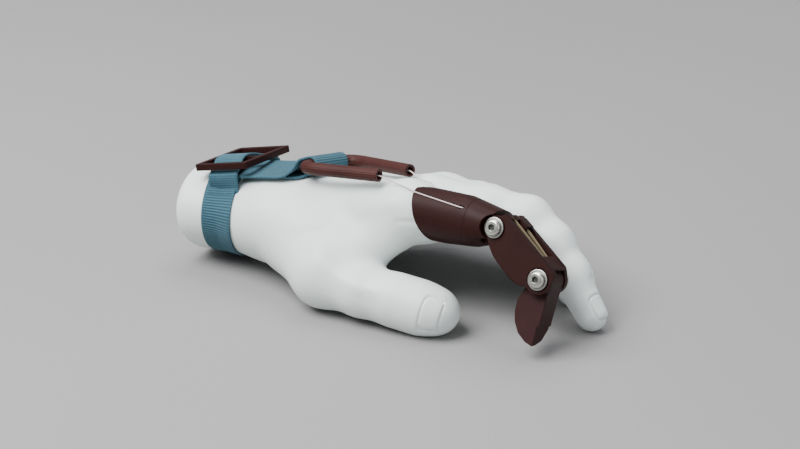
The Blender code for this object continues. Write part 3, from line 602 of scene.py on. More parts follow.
def webbing_material():
    """Woven tape: uv in mm, u along the tape and v across it from its middle."""
    m, nt, b = node_mat("webbing_teal")
    tc = new(nt, "ShaderNodeTexCoord")
    co = tc.outputs["Object"]
    sep = new(nt, "ShaderNodeSeparateXYZ")
    nt.links.new(tc.outputs["UV"], sep.inputs[0])
    u, v = sep.outputs[0], sep.outputs[1]
    rib = math_node(nt, "MULTIPLY_ADD", math_node(nt, "SINE", math_node(nt, "MULTIPLY", u, 2 * pi / 1.05)), 0.5, 0.5)
    yarn = math_node(nt, "MULTIPLY_ADD", math_node(nt, "SINE", math_node(nt, "MULTIPLY", v, 2 * pi / 0.55)), 0.5, 0.5)
    twill = math_node(nt, "MULTIPLY_ADD", math_node(nt, "SINE", math_node(nt, "ADD", math_node(nt, "MULTIPLY", v, 2 * pi / 0.55), math_node(nt, "MULTIPLY", u, 2 * pi / 2.1))), 0.5, 0.5)
    h = math_node(nt, "ADD", math_node(nt, "MULTIPLY", rib, 0.55), math_node(nt, "ADD", math_node(nt, "MULTIPLY", yarn, 0.2), math_node(nt, "MULTIPLY", twill, 0.25)))
    fuzz = noise(nt, co, 1800.0, 3.0, 0.7)
    dirt = noise(nt, co, 90.0, 4.0, 0.6)
    mix = math_node(nt, "ADD", math_node(nt, "MULTIPLY", h, 0.55), math_node(nt, "ADD", math_node(nt, "MULTIPLY", fuzz, 0.2), math_node(nt, "MULTIPLY", dirt, 0.25)))
    col = ramp(nt, mix, [(0.2, (0.013, 0.040, 0.060)), (0.5, (0.030, 0.094, 0.130)), (0.8, (0.066, 0.168, 0.215))])
    nt.links.new(col, b.inputs["Base Color"])
    b.inputs["Roughness"].default_value = 0.82
    b.inputs["Sheen Weight"].default_value = 0.07
    b.inputs["Sheen Roughness"].default_value = 0.5
    b.inputs["Specular IOR Level"].default_value = 0.25
    nt.links.new(bump(nt, fuzz, 0.00008, 0.6, bump(nt, h, 0.00016, 0.7)), b.inputs["Normal"])
    return m


def metal_material(name, col, rough, grain=500.0):
    m, nt, b = node_mat(name)
    co = new(nt, "ShaderNodeTexCoord").outputs["Object"]
    n = noise(nt, co, grain, 3.0, 0.6)
    nt.links.new(ramp(nt, n, [(0.3, tuple(c * 0.86 for c in col)), (0.7, col)]), b.inputs["Base Color"])
    b.inputs["Metallic"].default_value = 1.0
    nt.links.new(math_node(nt, "MULTIPLY_ADD", n, 0.2, rough - 0.1), b.inputs["Roughness"])
    nt.links.new(bump(nt, n, 0.00003, 0.4, bevel_normal(nt, 0.00018)), b.inputs["Normal"])
    return m


def plain_material(name, dark, light, rough, scale=400.0, b_dist=0.00005, spec=0.4, trans=0.0):
    m, nt, b = node_mat(name)
    co = new(nt, "ShaderNodeTexCoord").outputs["Object"]
    n = noise(nt, co, scale, 4.0, 0.6)
    nt.links.new(ramp(nt, n, [(0.3, dark), (0.7, light)]), b.inputs["Base Color"])
    b.inputs["Roughness"].default_value = rough
    b.inputs["Specular IOR Level"].default_value = spec
    b.inputs["Transmission Weight"].default_value = trans
    nt.links.new(bump(nt, n, b_dist, 0.5), b.inputs["Normal"])
    return m


def cord_material():
    """Braided elastic: uv in mm, u along the cord and v round it."""
    m, nt, b = node_mat("elastic_tan")
    tc = new(nt, "ShaderNodeTexCoord")
    sep = new(nt, "ShaderNodeSeparateXYZ")
    nt.links.new(tc.outputs["UV"], sep.inputs[0])
    u, v = sep.outputs[0], sep.outputs[1]
    a = math_node(nt, "SINE", math_node(nt, "MULTIPLY", math_node(nt, "ADD", u, v), 2 * pi / 0.9))
    c = math_node(nt, "SINE", math_node(nt, "MULTIPLY", math_node(nt, "SUBTRACT", u, v), 2 * pi / 0.9))
    h = math_node(nt, "MULTIPLY_ADD", math_node(nt, "MULTIPLY", a, c), 0.5, 0.5)
    nt.links.new(ramp(nt, h, [(0.1, (0.075, 0.055, 0.028)), (0.55, (0.17, 0.13, 0.07)), (0.9, (0.25, 0.195, 0.11))]), b.inputs["Base Color"])
    b.inputs["Roughness"].default_value = 0.75
    nt.links.new(bump(nt, h, 0.00012, 0.8), b.inputs["Normal"])
    return m


CAST = cast_material()
MAROON = print_material("print_maroon", (0.0165, 0.0032, 0.0024), (0.028, 0.0062, 0.0048), 0.52, 0.0, False, 0.00045)
# the same maroon print made about 1.5 times lighter, used only on the fingertip: painted light
MAROON_TIP_LIT = print_material("print_maroon_tip", (0.026, 0.0085, 0.0082), (0.042, 0.0150, 0.0150), 0.52, 0.0, False, 0.00045)
MAROON_ROD = print_material("print_maroon_rod", (0.034, 0.0095, 0.0082), (0.068, 0.0225, 0.0190), 0.50, 0.9, True, 0.0003)
WEBBING = webbing_material()
STEEL = metal_material("screw_steel", (0.66, 0.65, 0.60), 0.30)
WASHER = metal_material("washer_steel", (0.50, 0.49, 0.46), 0.38)
# near-black metal for the floor of the hex sockets: painted shade in the recess
SOCKET_SHADE = metal_material("socket_dark", (0.11, 0.11, 0.105), 0.42)
BRASS = metal_material("bush_brass", (0.55, 0.40, 0.18), 0.35)
ELASTIC = cord_material()
LINE = plain_material("line_pale", (0.52, 0.43, 0.40), (0.72, 0.63, 0.60), 0.38, 900.0, 0.00003, 0.5)
THREAD = plain_material("stitch_thread", (0.035, 0.10, 0.14), (0.07, 0.17, 0.22), 0.8, 2500.0)
# near-black painted shade meant for the insides of bores; no object uses it
BORE_SHADE = plain_material("bore_dark", (0.004, 0.003, 0.003), (0.008, 0.006, 0.006), 0.8)


# ---------------------------------------------------------------- mesh helpers (meshes are worked in mm, then scaled)
def mesh_of(name, verts, faces, mat, uv=None, smooth=True, angle=38):
    me = bpy.data.meshes.new(name)
    me.from_pydata([tuple(map(float, v)) for v in (np.asarray(verts, float) - O3)], [], [tuple(int(i) for i in f) for f in faces])
    if uv is not None:
        lay = me.uv_layers.new(name="UVMap")
        uv = np.asarray(uv, float)
        idx = np.zeros(len(me.loops), np.int32)
        me.loops.foreach_get("vertex_index", idx)
        lay.data.foreach_set("uv", uv[idx].astype(np.float32).ravel())
    me.update()
    ob = bpy.data.objects.new(name, me)
    bpy.context.scene.collection.objects.link(ob)
    if mat is not None:
        me.materials.append(mat)
    if smooth:
        me.shade_smooth()
        if angle:
            me.set_sharp_from_angle(angle=radians(angle))
    return ob


def local(name, frame_, vf, mat, **kw):
    v, f = vf
    return mesh_of(name, to_world(frame_, np.asarray(v, float)), f, mat, **kw)


TOOLS = []


def boolean(ob, tool, op='DIFFERENCE'):
    m = ob.modifiers.new(op.lower(), 'BOOLEAN')
    m.operation = op
    m.solver = 'EXACT'
    m.object = tool
    TOOLS.append(tool)


def bevelled(ob, width, segments=3, angle=40):
    m = ob.modifiers.new("edges", 'BEVEL')
    m.width = width
    m.segments = segments
    m.limit_method = 'ANGLE'
    m.angle_limit = radians(angle)
    m.use_clamp_overlap = True
    m.harden_normals = False


def bake(ob, angle=38):
    """The object's evaluated mesh, in metres."""
    bpy.context.view_layer.update()
    dg = bpy.context.evaluated_depsgraph_get()
    me = bpy.data.meshes.new_from_object(ob.evaluated_get(dg))
    ob.modifiers.clear()
    old = ob.data
    ob.data = me
    bpy.data.meshes.remove(old)
    me.transform(Matrix.Scale(0.001, 4))
    me.shade_smooth()
    if angle:
        me.set_sharp_from_angle(angle=radians(angle))
    me.update()
    return ob


def clear_tools():
    for t in set(TOOLS):
        bpy.data.objects.remove(t, do_unlink=True)
    TOOLS.clear()


def done(ob, body, node=None, angle=38):
    bake(ob, angle)
    clear_tools()
    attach(ob, body)
    if node:
        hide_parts(*([node] if isinstance(node, str) else node))
    return ob


def rod_uv(path, r, sides, ref=(0, 0, 1), caps=True):
    """A round rod with uv in mm: u along, v round."""
    v, f = tube_along(path, r, sides, ref)
    p = np.array(path, float)
    s = np.concatenate([[0], np.cumsum(np.linalg.norm(np.diff(p, axis=0), axis=1))])
    uv = np.array([(s[k], i * 2 * pi * r / sides) for k in range(len(p)) for i in range(sides)])
    return np.array(v), f, uv


def tape(path, lats, width, thick, skew, across=26, rib=0.10, pitch=1.05, fine=0.21):
    """Woven tape along a path, ribbed across, with plain selvedges and rounded edges. uv in mm."""
    p = np.array(path, float)
    l = np.array([unit(x) for x in lats])
    s = np.concatenate([[0], np.cumsum(np.linalg.norm(np.diff(p, axis=0), axis=1))])
    n = max(8, int(s[-1] / fine))
    g = np.linspace(0, s[-1], n)
    P = np.stack([np.interp(g, s, p[:, k]) for k in range(3)], 1)
    # soften the corners of the interpolated path
    for _ in range(12):
        P[1:-1] = P[1:-1] * 0.5 + (P[:-2] + P[2:]) * 0.25
    L = np.stack([np.interp(g, s, l[:, k]) for k in range(3)], 1)
    T = np.gradient(P, axis=0)
    T /= np.linalg.norm(T, axis=1)[:, None]
    if not skew:
        L = L - (L * T).sum(1)[:, None] * T
    L /= np.linalg.norm(L, axis=1)[:, None]
    N = np.cross(T, L)
    N /= np.linalg.norm(N, axis=1)[:, None]
    w, h = width / 2, thick / 2
    ys = np.linspace(-w + 0.25, w - 0.25, across)
    prof = [(y, h) for y in ys] + [(w - 0.06, h * 0.6), (w, 0.0), (w - 0.06, -h * 0.6)] + [(y, -h) for y in ys[::-1]] + [(-w + 0.06, -h * 0.6), (-w, 0.0), (-w + 0.06, h * 0.6)]
    verts, uv = [], []
    for k in range(n):
        for y, z in prof:
            amp = np.clip((w - 1.5 - abs(y)) / 0.5, 0, 1) * rib
            dz = amp * (0.5 - 0.5 * cos(2 * pi * g[k] / pitch)) - amp
            zz = z + (dz if z > 0 else -dz) if abs(z) >= h * 0.99 else z
            verts.append(P[k] + L[k] * y + N[k] * zz)
            uv.append((g[k], y))
    m = len(prof)
    faces = []
    for k in range(n - 1):
        for i in range(m):
            j = (i + 1) % m
            faces.append((k * m + i, (k + 1) * m + i, (k + 1) * m + j, k * m + j))
    faces.append(tuple(range(m)))
    faces.append(tuple((n - 1) * m + i for i in reversed(range(m))))
    v = np.array(verts)
    return v, outward(v, faces), np.array(uv)


# ---------------------------------------------------------------- display hand
def nail_shape(p, d, tip, axis, out, r, shift, half_len, half_w, lift):
    """A fingernail on a round fingertip: a fold round its base and sides, and a fine line under its free edge."""
    A = unit(axis)
    N = np.array(out, float)
    N = unit(N - (N @ A) * A)
    B = np.cross(N, A)
    q = p - (np.array(tip, float) + N * r + A * shift)
    a, b, c = q @ A, q @ B, q @ N
    arc_b = np.arctan2(b, np.maximum(c + r, 0.5)) * r          # distance round the finger
    near = np.clip((c + r * 1.1) / 2.0, 0, 1)
    rr = ((np.abs(np.minimum(a, half_len * 0.55)) / half_len) ** 3.6 + (np.abs(arc_b) / half_w) ** 3.6) ** (1 / 3.6)
    edge = (rr - 1) * min(half_len, half_w)
    front = np.clip((half_len + 0.1 - a) / 0.4, 0, 1)
    groove = 0.42 * np.exp(-(edge / 0.40) ** 2) * front
    wall = -0.12 * np.exp(-((edge - 1.0) / 0.8) ** 2) * front
    inside = np.clip(-edge / 0.4, 0, 1) * front
    plate = -lift * inside * np.clip((a + half_len) / (1.6 * half_len), 0, 1)
    sides = np.clip((half_w * 0.93 - np.abs(arc_b)) / 1.0, 0, 1)
    free = 0.62 * np.exp(-((a - half_len - 0.12 - 0.02 * arc_b ** 2 * 0) / 0.30) ** 2) * sides
    pulp = 0.10 * np.clip((a - half_len) / 0.5, 0, 1) * np.exp(-((a - half_len) / 4) ** 2) * sides
    return d + near * (groove + wall + plate + free + pulp)


def polyline(p, pts):
    """Distance to a polyline."""
    best = np.full(p.shape[:-1], 1e9)
    pts = np.array(pts, float)
    for a, b in zip(pts[:-1], pts[1:]):
        ba = b - a
        h = np.clip(((p - a) @ ba) / (ba @ ba), 0, 1)
        dd = p - a - h[..., None] * ba
        best = np.minimum(best, np.sqrt((dd * dd).sum(-1)))
    return best


FOLDS = [   # (points, depth, width) of the creases, grooves and low ridges of the cast
    (((39.5, -88.2, 42.1), (42.5, -87.5, 42.6), (46.5, -86.6, 42.5)), 0.55, 0.9),
    (((7.5, -98.0, 31.7), (13, -103, 27.5), (20, -106.8, 23.0), (28, -107.6, 20.6), (36.8, -107.3, 19.4)), -0.7, 4.0),
    (((-4, -92, 35), (11.7, -88.6, 38.9), (21.9, -84.6, 44.2), (35.4, -85.5, 48.7)), -0.55, 3.6),
    (((-30, -60, 45), (-5, -58, 46), (20, -56, 49), (40, -54, 51)), -0.45, 3.2),
    (((-28, -66, 44), (0, -70, 48), (25, -74, 54)), -0.4, 3.0),
    (((-20, -48, 42), (10, -42, 43), (34, -35, 46)), -0.45, 3.0),
    (((-18, -40, 38), (10, -28, 37), (28, -17, 36)), -0.4, 3.0),
    (((33, -107, 16), (35.5, -108, 12), (36.5, -107, 8)), 0.22, 1.0),
    (((36, -107, 17.5), (38.5, -108.3, 13), (39.5, -107.4, 8.5)), 0.20, 1.0),
]


def cast(p):
    """The cast hand's fine form: the same hand, with its thumb, heel and cut wrist end drawn more closely."""
    side = (0.1, 0.97, -0.22)
    wrist = cone(p, (-74, -58, 20.2), (-30, -58, 21.8), 19.3, 18.1, (side, 0.72))
    wrist = smax(wrist, -(p @ np.array([0.995, 0, 0.1])) - 66.4, 5)
    heel = cone(p, (-32, -58, 21.8), (-2, -58, 24.5), 17.8, 16.6, (side, 0.66))
    wrist = smin(wrist, heel, 8)
    meta_i = cone(p, (-20, -63, 26.8), (39, -74.5, 42.3), 14.6, 12.2)
    meta_m = cone(p, (-20, -54, 26.0), (40, -53.5, 37.3), 14.4, 11.2)
    meta_r = cone(p, (-20, -48, 23.6), (37, -34, 31.2), 13.6, 10.7)
    meta_l = cone(p, (-20, -44, 22), (29, -16, 24), 13.5, 10.0)
    d = smin(smin(meta_i, meta_m, 9), smin(meta_r, meta_l, 9), 9)
    d = smin(d, wrist, 12)
    d = smin(d, cone(p, (-16, -44, 15.2), (20, -26, 18.0), 13.2, 10.5), 12)
    d = smin(d, cone(p, (-20, -73, 24.5), (8, -91, 17.5), 13.5, 11.8), 14)
    d = smin(d, cone(p, (-8, -70, 24), (13, -80, 24), 14.0, 9.0), 12)
    d = smin(d, cone(p, (-10, -80.0, 17.0), (9, -92.6, 14.2), 10.4, 11.6), 8)
    thumb = cone(p, (9, -93.2, 14.6), (28, -96.4, 13.0), 11.4, 9.8)
    thumb = smin(thumb, cone(p, (28, -96.4, 13.0), (44, -96.9, 11.8), 9.8, 9.65), 7)
    thumb = smin(thumb, cone(p, (44, -97.0, 11.8), (55, -96.6, 10.4), 9.7, 9.8), 7)
    thumb = smin(thumb, cone(p, (55, -96.6, 10.4), (61.3, -95.8, 9.7), 9.8, 9.2), 6)
    d = smin(d, thumb, 8)
    d = smin(d, cone(p, (18, -84, 22), (34, -80, 33), 10.2, 8.2), 8)
    middle = finger(p, ((40, -53.5, 37.4), (66, -53.6, 38.6), (83.3, -53.8, 37.9), (95.0, -57.4, 30.2), (105, -61.3, 20.1), (116.4, -66.4, 6.3)), (11.0, 10.0, 9.3, 9.1, 8.0, 6.3))
    ring = finger(p, ((37, -34, 31.2), (58, -35.4, 31.9), (75, -36.5, 30.3), (86, -40, 24), (94, -43, 15.5), (101, -47.5, 6.3)), (10.5, 9.3, 8.7, 8.3, 7.4, 6.2))
    little = finger(p, ((29, -16, 24), (46, -16.6, 25.2), (60.5, -17, 23.8), (70, -21, 19.4), (77, -24, 13.5), (87, -30.5, 5.8)), (9.8, 8.4, 7.6, 7.2, 6.5, 5.7))
    stump = cone(p, (40, -74.8, 42.6), (60, -77.3, 43.0), 10.4, 8.6)
    for part in (middle, ring, little, stump):
        d = smin(d, part, 6)
    for a, b in (((50, -54, 34), (47, -35, 29.5)), ((47, -35, 29), (39, -18, 24)), ((48, -73, 36), (50, -55, 35))):
        d = smin(d, cone(p, a, b, 6.5, 6), 6)
    dish = np.exp(-((p[..., 0] + 8) ** 2 + (p[..., 1] + 58) ** 2) / 338)
    return d + 1.3 * dish * np.clip((p[..., 2] - 26) / 10, 0, 1)


def skin(p):
    shape = p.shape
    p = p.reshape(-1, 3)
    d = cast(p)
    for pts, depth, width in FOLDS:
        q = np.array(pts)
        m = ((p > q.min(0) - 3 * width) & (p < q.max(0) + 3 * width)).all(1)
        if m.any():
            d[m] += depth * np.exp(-(polyline(p[m], pts) / width) ** 2)
    for tip, axis, out, r, shift, hl, hw, lift in (
            ((61, -95.8, 9.9), (0.965, 0.10, -0.19), (0.20, -0.945, 0.25), 9.2, -0.4, 3.9, 6.6, 0.20),
            ((116.4, -66.4, 6.3), (0.61, -0.273, -0.74), (0.77, 0.0, 0.63), 6.2, -1.6, 4.9, 5.0, 0.35),
            ((101, -47.5, 6.3), (0.56, -0.36, -0.74), (0.8, 0.1, 0.58), 6.1, -1.6, 4.5, 4.6, 0.28),
            ((87, -30.5, 5.8), (0.68, -0.44, -0.58), (0.66, 0.1, 0.74), 5.6, -1.4, 4.0, 4.0, 0.26)):
        m = (np.abs(p - np.array(tip, float)) < 16).all(1)
        if m.any():
            d[m] = nail_shape(p[m], d[m], tip, axis, out, r, shift, hl, hw, lift)
    return d.reshape(shape[:-1])


def projected(v, fun, steps, eps=0.12):
    for _ in range(steps):
        d = fun(v)
        g = np.stack([fun(v + np.eye(3)[k] * eps) - fun(v - np.eye(3)[k] * eps) for k in range(3)], 1) / (2 * eps)
        n = np.maximum((g * g).sum(1), 0.25)
        v = v - g * (d / n)[:, None] * 0.9
    return v


cell = 2.8
verts, quads = surface(skin, (-100, -125, -6), (140, 15, 70), cell)
me = bpy.data.meshes.new("raw")
me.from_pydata([tuple(map(float, v)) for v in verts], [], [tuple(int(i) for i in f) for f in quads])
bm = bmesh.new()
bm.from_mesh(me)
bmesh.ops.subdivide_edges(bm, edges=bm.edges[:], cuts=3, use_grid_fill=True)
for c, rad in (((62.5, -103.5, 12.5), 10.5), ((120, -66, 10), 9.0)):
    c = Vector(c)
    ed = {e for f in bm.faces if (f.calc_center_median() - c).length < rad for e in f.edges}
    bmesh.ops.subdivide_edges(bm, edges=list(ed), cuts=2, use_grid_fill=True)
bm.verts.ensure_lookup_table()
v = np.array([x.co[:] for x in bm.verts])
v = projected(v, skin, 3)
low = v[:, 2] < 0.0
v[low, 2] = 0.0
for x, co in zip(bm.verts, v):
    x.co = co
bm.to_mesh(me)
bm.free()
me.transform(Matrix.Translation(Vector([-x for x in ORIGIN])))
me.materials.append(CAST)
skin_ob = bpy.data.objects.new("hand_skin", me)
bpy.context.scene.collection.objects.link(skin_ob)
done(skin_ob, "hand", "display_hand", angle=0)

# ---------------------------------------------------------------- wrist strap
NW = 900
ACROSS = list(np.linspace(-WEB_W / 2 + 0.15, WEB_W / 2 - 0.15, 19))
base_rings = [wrist_ring(0.42, a, 120) for a in (-WEB_W / 2, 0.0, WEB_W / 2)]
R3 = np.array(base_rings)                                # 3 x 120 x 3
ang = np.linspace(0, 2 * pi, NW, endpoint=False)
src = np.linspace(0, 2 * pi, 120, endpoint=False)


def ring_point(a, across, off):
    """Inner face of the wrist strap at angle a, raised by off."""
    w = (across + WEB_W / 2) / WEB_W * 2
    i = min(1, int(w))
    t = w - i
    k = a / (2 * pi) * 120
    k0 = int(k) % 120
    k1 = (k0 + 1) % 120
    f = k - int(k)
    p = (R3[i, k0] * (1 - f) + R3[i, k1] * f) * (1 - t) + (R3[i + 1, k0] * (1 - f) + R3[i + 1, k1] * f) * t
    c = np.array(RING_C) + across * RN
    d = p - c
    return c + d * (1 + off / np.linalg.norm(d))


verts, uv, faces = [], [], []
ribs = 143
prof = [(y, 1) for y in ACROSS] + [(y, 0) for y in ACROSS[::-1]]
for k in range(NW):
    a = ang[k]
    for y, top in prof:
        amp = np.clip((WEB_W / 2 - 1.5 - abs(y)) / 0.5, 0, 1) * 0.14
        off = (WEB_T - amp * (0.5 + 0.5 * cos(a * ribs))) if top else 0.05
        if abs(y) > WEB_W / 2 - 0.3:
            off = 0.78 if top else 0.22
        verts.append(ring_point(a, y, off))
        uv.append((a / (2 * pi) * ribs * 1.05, y))
m = len(prof)
for k in range(NW):
    for i in range(m):
        j, q = (i + 1) % m, (k + 1) % NW
        faces.append((k * m + i, q * m + i, q * m + j, k * m + j))
wrist = mesh_of("wrist_webbing", verts, outward(np.array(verts), faces), WEBBING, uv, angle=0)
done(wrist, "hand", "wrist_strap", angle=60)

# second layer: through the buckle
layer = 0.42 + WEB_T + GAP + WEB_T / 2 + 0.1
mids = [wrist_ring(layer, a, 180) for a in (0.0, -WEB_W / 2, WEB_W / 2)]


def clear_mid(k):
    out = [np.linalg.norm(m[k] - np.array(RING_C) - a * RN) for m, a in zip(mids, (0.0, -WEB_W / 2, WEB_W / 2))]
    d = mids[0][k] - np.array(RING_C)
    return np.array(RING_C) + d / np.linalg.norm(d) * max(out)


HOLD_PTS = [(-0.8, -16.1, -3.5), (-0.9, -14.3, -2.6), (-1.1, -11.8, -1.1), (-1.4, -8.6, 1.1), (-1.7, -5.8, 1.98),
            (-1.8, -4.0, 2.12), (-2.0, -2.2, 2.0), (-2.2, 1.5, 1.35), (-2.5, 6.0, 0.0), (-2.7, 10.5, -1.4), (-2.8, 13.6, -2.25),
            (-2.9, 15.6, -2.45), (-3.0, 17.4, -2.95), (-3.2, 19.6, -5.0), (-3.4, 21.2, -7.8)]
ring1 = wrist_ring(0.42, 0.0, 180)


def on_ring(k, off):
    d = ring1[k] - np.array(RING_C)
    return np.array(RING_C) + d / np.linalg.norm(d) * (np.linalg.norm(d) + off)


held = to_world(BUCKLE, [(x + np.interp(y, (-16, -8), (1.3, 0.4)), y, z) for x, y, z in HOLD_PTS])
tucked = [on_ring(74, 0.2) + 1.7 * RN, on_ring(72, 0.55) + 1.7 * RN, on_ring(70, 1.25) + 1.7 * RN,
          np.array((-48.75, -77.3, 40.1)) + 1.7 * RN, np.array((-48.85, -77.3, 42.2)) + 1.6 * RN]
path = smooth_path(tucked + list(held), 70)
hold = np.clip((from_world(BUCKLE, path)[:, 1] + 20) / 4, 0, 1)
lats = [unit(RN * (1 - w) + BX * w) for w in hold]
v, f, uv = tape(path, lats, WEB_W, WEB_T, True, across=24, fine=0.21)
done(mesh_of("buckle_webbing", v, f, WEBBING, uv, angle=0), "hand", "buckle_strap", angle=60)

# stitches across the sewn end, on the outer wrist layer just below it
for row in (0, 1):
    for i in range(9):
        y = -5.2 + i * 1.3
        a, b = ring_point(radians(142.6 + 3.4 * row), y - 0.42, WEB_T), ring_point(radians(142.6 + 3.4 * row), y + 0.42, WEB_T)
        n = unit((a + b) / 2 - np.array(RING_C))
        mid = (a + b) / 2 + n * 0.14
        vv, ff, uu = rod_uv([a - n * 0.1, a + n * 0.05, mid, b + n * 0.05, b - n * 0.1], 0.15, 6)
        st = mesh_of("stitch_%d_%d" % (row, i), vv, ff, THREAD, uu)
        done(st, "hand", None)

# ---------------------------------------------------------------- slide buckle
def slab(x0, x1, y0, y1, z0, z1, r=0.0, n=8):
    if r > 0:
        pts = []
        for cx, cy, a in ((x1 - r, y1 - r, 0), (x0 + r, y1 - r, 90), (x0 + r, y0 + r, 180), (x1 - r, y0 + r, 270)):
            pts += arc(cx, cy, r, a, a + 90, n)
    else:
        pts = [(x0, y0), (x1, y0), (x1, y1), (x0, y1)]
    rings = [[(x, y, z) for x, y in pts] for z in (z0, z1)]
    v, f = loft(rings)
    return v, outward(v, f)


hw, hl, hb = BUCKLE_W / 2, BUCKLE_L / 2, BUCKLE_BAR / 2
buckle = local("buckle_frame", BUCKLE, slab(-hw - hb, hw + hb, -hl - hb, hl + hb, -hb, hb, 1.6), MAROON, smooth=False)
boolean(buckle, local("t1", BUCKLE, slab(-hw + hb, hw - hb, -hl + hb, CENTRE_Y - 1.1, -5, 5, 0.5), None))
boolean(buckle, local("t2", BUCKLE, slab(-hw + hb, hw - hb, CENTRE_Y + 1.1, hl - hb, -5, 5, 0.5), None))
bevelled(buckle, 1.15, 5, 50)
done(buckle, "buckle", "slide_buckle", angle=50)

# ---------------------------------------------------------------- yoke
YOKE_HALF = [(39.0, 9.7), (29.0, 11.4), (19.0, 13.1), (9.8, 14.7), (7.0, 15.0), (4.6, 14.8), (2.4, 13.9), (0.9, 12.3), (0.15, 10.2), (0.0, 7.8)]
half = np.array(smooth_path([(x, y, 0.0) for x, y in YOKE_HALF] + [(0.0, 4.0, 0.0)], 60))
ypath = np.array([(x, -y, 0.0) for x, y, z in half] + [(0.0, 0.0, 0.0)] + [(x, y, 0.0) for x, y, z in half[::-1]])
vv, ff, uu = rod_uv(ypath, YOKE_TUBE_R, 28)
loc = np.array(vv)
uu = np.array([(a, b) for a, b in uu])
yoke = mesh_of("yoke_tube", to_world(YOKE, loc), ff, MAROON_ROD, uu, angle=0)
for s in (-1, 1):
    end, back = np.array((39.0, 9.7 * s, 0.0)), np.array((19.0, 13.1 * s, 0.0))
    d = unit(end - back)
    boolean(yoke, local("bore%d" % s, YOKE, tube_along([end + d, end - 15 * d], YOKE_BORE_R + 0.25, 28), None))
done(yoke, "yoke", "line_yoke", angle=40)
for s, side in ((-1, "near"), (1, "far")):
    end, back = np.array((39.0, 9.7 * s, 0.0)), np.array((19.0, 13.1 * s, 0.0))
    d = unit(end - back)
    cr = local("crimp_" + side, YOKE, tube_along([end - 10.5 * d, end - 11.2 * d, end - 12.8 * d, end - 13.5 * d], 1.15, 24), WASHER)
    done(cr, "yoke", "line_crimp_" + side)

# ---------------------------------------------------------------- dorsal strap
top_layer = [(-41.3, -65.8, 43.8), (-38.0, -65.9, 44.3), (-31.0, -66.1, 45.5), (-24.0, -65.9, 46.4), (-18.5, -64.9, 47.4), (-14.3, -63.2, 49.6), (-11.9, -61.6, 52.0)]
loop_r = YOKE_TUBE_R + 0.3 + WEB_T / 2
yo = 0.5
loop = [(loop_r * cos(radians(a)), yo, loop_r * sin(radians(a))) for a in (110, 90, 62, 35, 10, -15, -40, -65, -85, -100)]
tail = [(-11.5, -62.3, 45.75), (-15.0, -63.4, 45.65), (-18.5, -64.3, 45.75)]
spath = smooth_path(top_layer + [tuple(p) for p in to_world(YOKE, loop)] + tail, 90)
lat0, lat1 = unit((-0.05, 0.995, 0.02)), YY
cum = np.concatenate([[0], np.cumsum(np.linalg.norm(np.diff(spath, axis=0), axis=1))])
lats = [unit(lat0 * (1 - w) + lat1 * w) for w in np.clip((cum - 19) / 14, 0, 1) ** 1.3]
flat = unit((0.27, 0.955, -0.05))
lats = [unit(l * (1 - w) + flat * w) for l, w in zip(lats, np.clip((cum - cum[-1] + 14) / 6, 0, 1))]
v, f, uv = tape(spath, lats, DORSAL_W + 1.6, WEB_T, True, across=28, fine=0.21)
done(mesh_of("dorsal_webbing", v, f, WEBBING, uv, angle=0), "hand", "dorsal_strap", angle=60)

# ---------------------------------------------------------------- cuff
nc, sc = ((144, 48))
cuff = local("cuff_shell", FINGER, cuff_solid(-1.4, nc, sc), MAROON, smooth=True, angle=50)
tongue = arc(0, 0, TONGUE_R, -90, 90, 36) + [(-9.0, TONGUE_R), (-9.0, -TONGUE_R)]
boolean(cuff, local("t0", FINGER, prism(tongue, -7.0, 7.0), None), 'UNION')
boolean(cuff, local("t1", FINGER, rod_y(0, 0, BUSH_OUT + GAP, -9, 9, 48, 0.03), None))
boolean(cuff, local("t2", FINGER, cuff_solid(-14.5, 64, 10, 1.9, 9.0), None))
for s in (-1, 1):
    y0, y1 = sorted((s * TONGUE_HALF, s * (PLATE_OUT + 0.35)))
    swing = [(6.0, 5.0), (2.0, 5.35)] + arc(0, 0, 5.35, 92, 200, 40) + [(-5.2, -4.5), (-4.9, -7.0), (-4.9, -20.0), (6.0, -20.0)]
    boolean(cuff, local("t3%d" % s, FINGER, prism(swing, y0, y1), None))
    y0, y1 = sorted((s * 6.4, s * 16.0))
    boolean(cuff, local("t4%d" % s, FINGER, rod_y(0, 0, 5.25, y0, y1, 64, 0.05), None))
def cuff_skin(x, z, s):
    """Lateral place of the cuff's outer surface at (x, z) on side s."""
    top = np.interp(x, (-42, -30, -16, -3, 3), (9.0, 9.6, 9.9, 7.3, 6.2))
    half = np.interp(x, (-38, -16, 2), (12.0, 11.6, 11.0))
    sn = (z / top) ** (1 / 0.86)
    return s * half * sqrt(1 - sn * sn) ** 0.8


def line_on_cuff(s):
    """The flexor line's run in the cuff's groove, then into its hole."""
    z0, z1 = (6.6, 4.9) if s < 0 else (7.0, 5.4)
    pts = []
    for k in range(5):
        w = k / 4
        x, z = -38.6 * (1 - w) - 16.2 * w, z0 * (1 - w) + z1 * w
        pts.append((x, cuff_skin(x, z, s) - s * 0.15, z))
    e = pts[-1]
    return pts + [(-14.6, e[1] - s * 0.7, e[2] - 0.1)]


GROOVES = {}

for s, side in ((-1, "near"), (1, "far")):
    run = line_on_cuff(s)
    GROOVES[side] = run
    first = np.array(run[0]) + 4 * unit(np.array(run[0]) - np.array(run[1]))
    g = tube_along([tuple(first)] + run[:-1] + [(-12.9, run[-1][1] - s * 1.3, run[-1][2] - 0.4)], LINE_R + 0.12, 20)
    boolean(cuff, local("t5%d" % s, FINGER, g, None))
    hole = [run[-2], run[-1], (-13.2, run[-1][1] - s * 1.6, run[-1][2] - 0.5)]
    boolean(cuff, local("t6%d" % s, FINGER, tube_along(hole, 0.80, 20), None))
seam = local("seam", FINGER, box(-12.75, -12.35, -30, 30, -30, 30), None)
boolean(seam, local("t7", FINGER, cuff_solid(-1.0, nc, sc, 0.07), None))
boolean(cuff, seam)
done(cuff, "hand", "finger_cuff", angle=42)

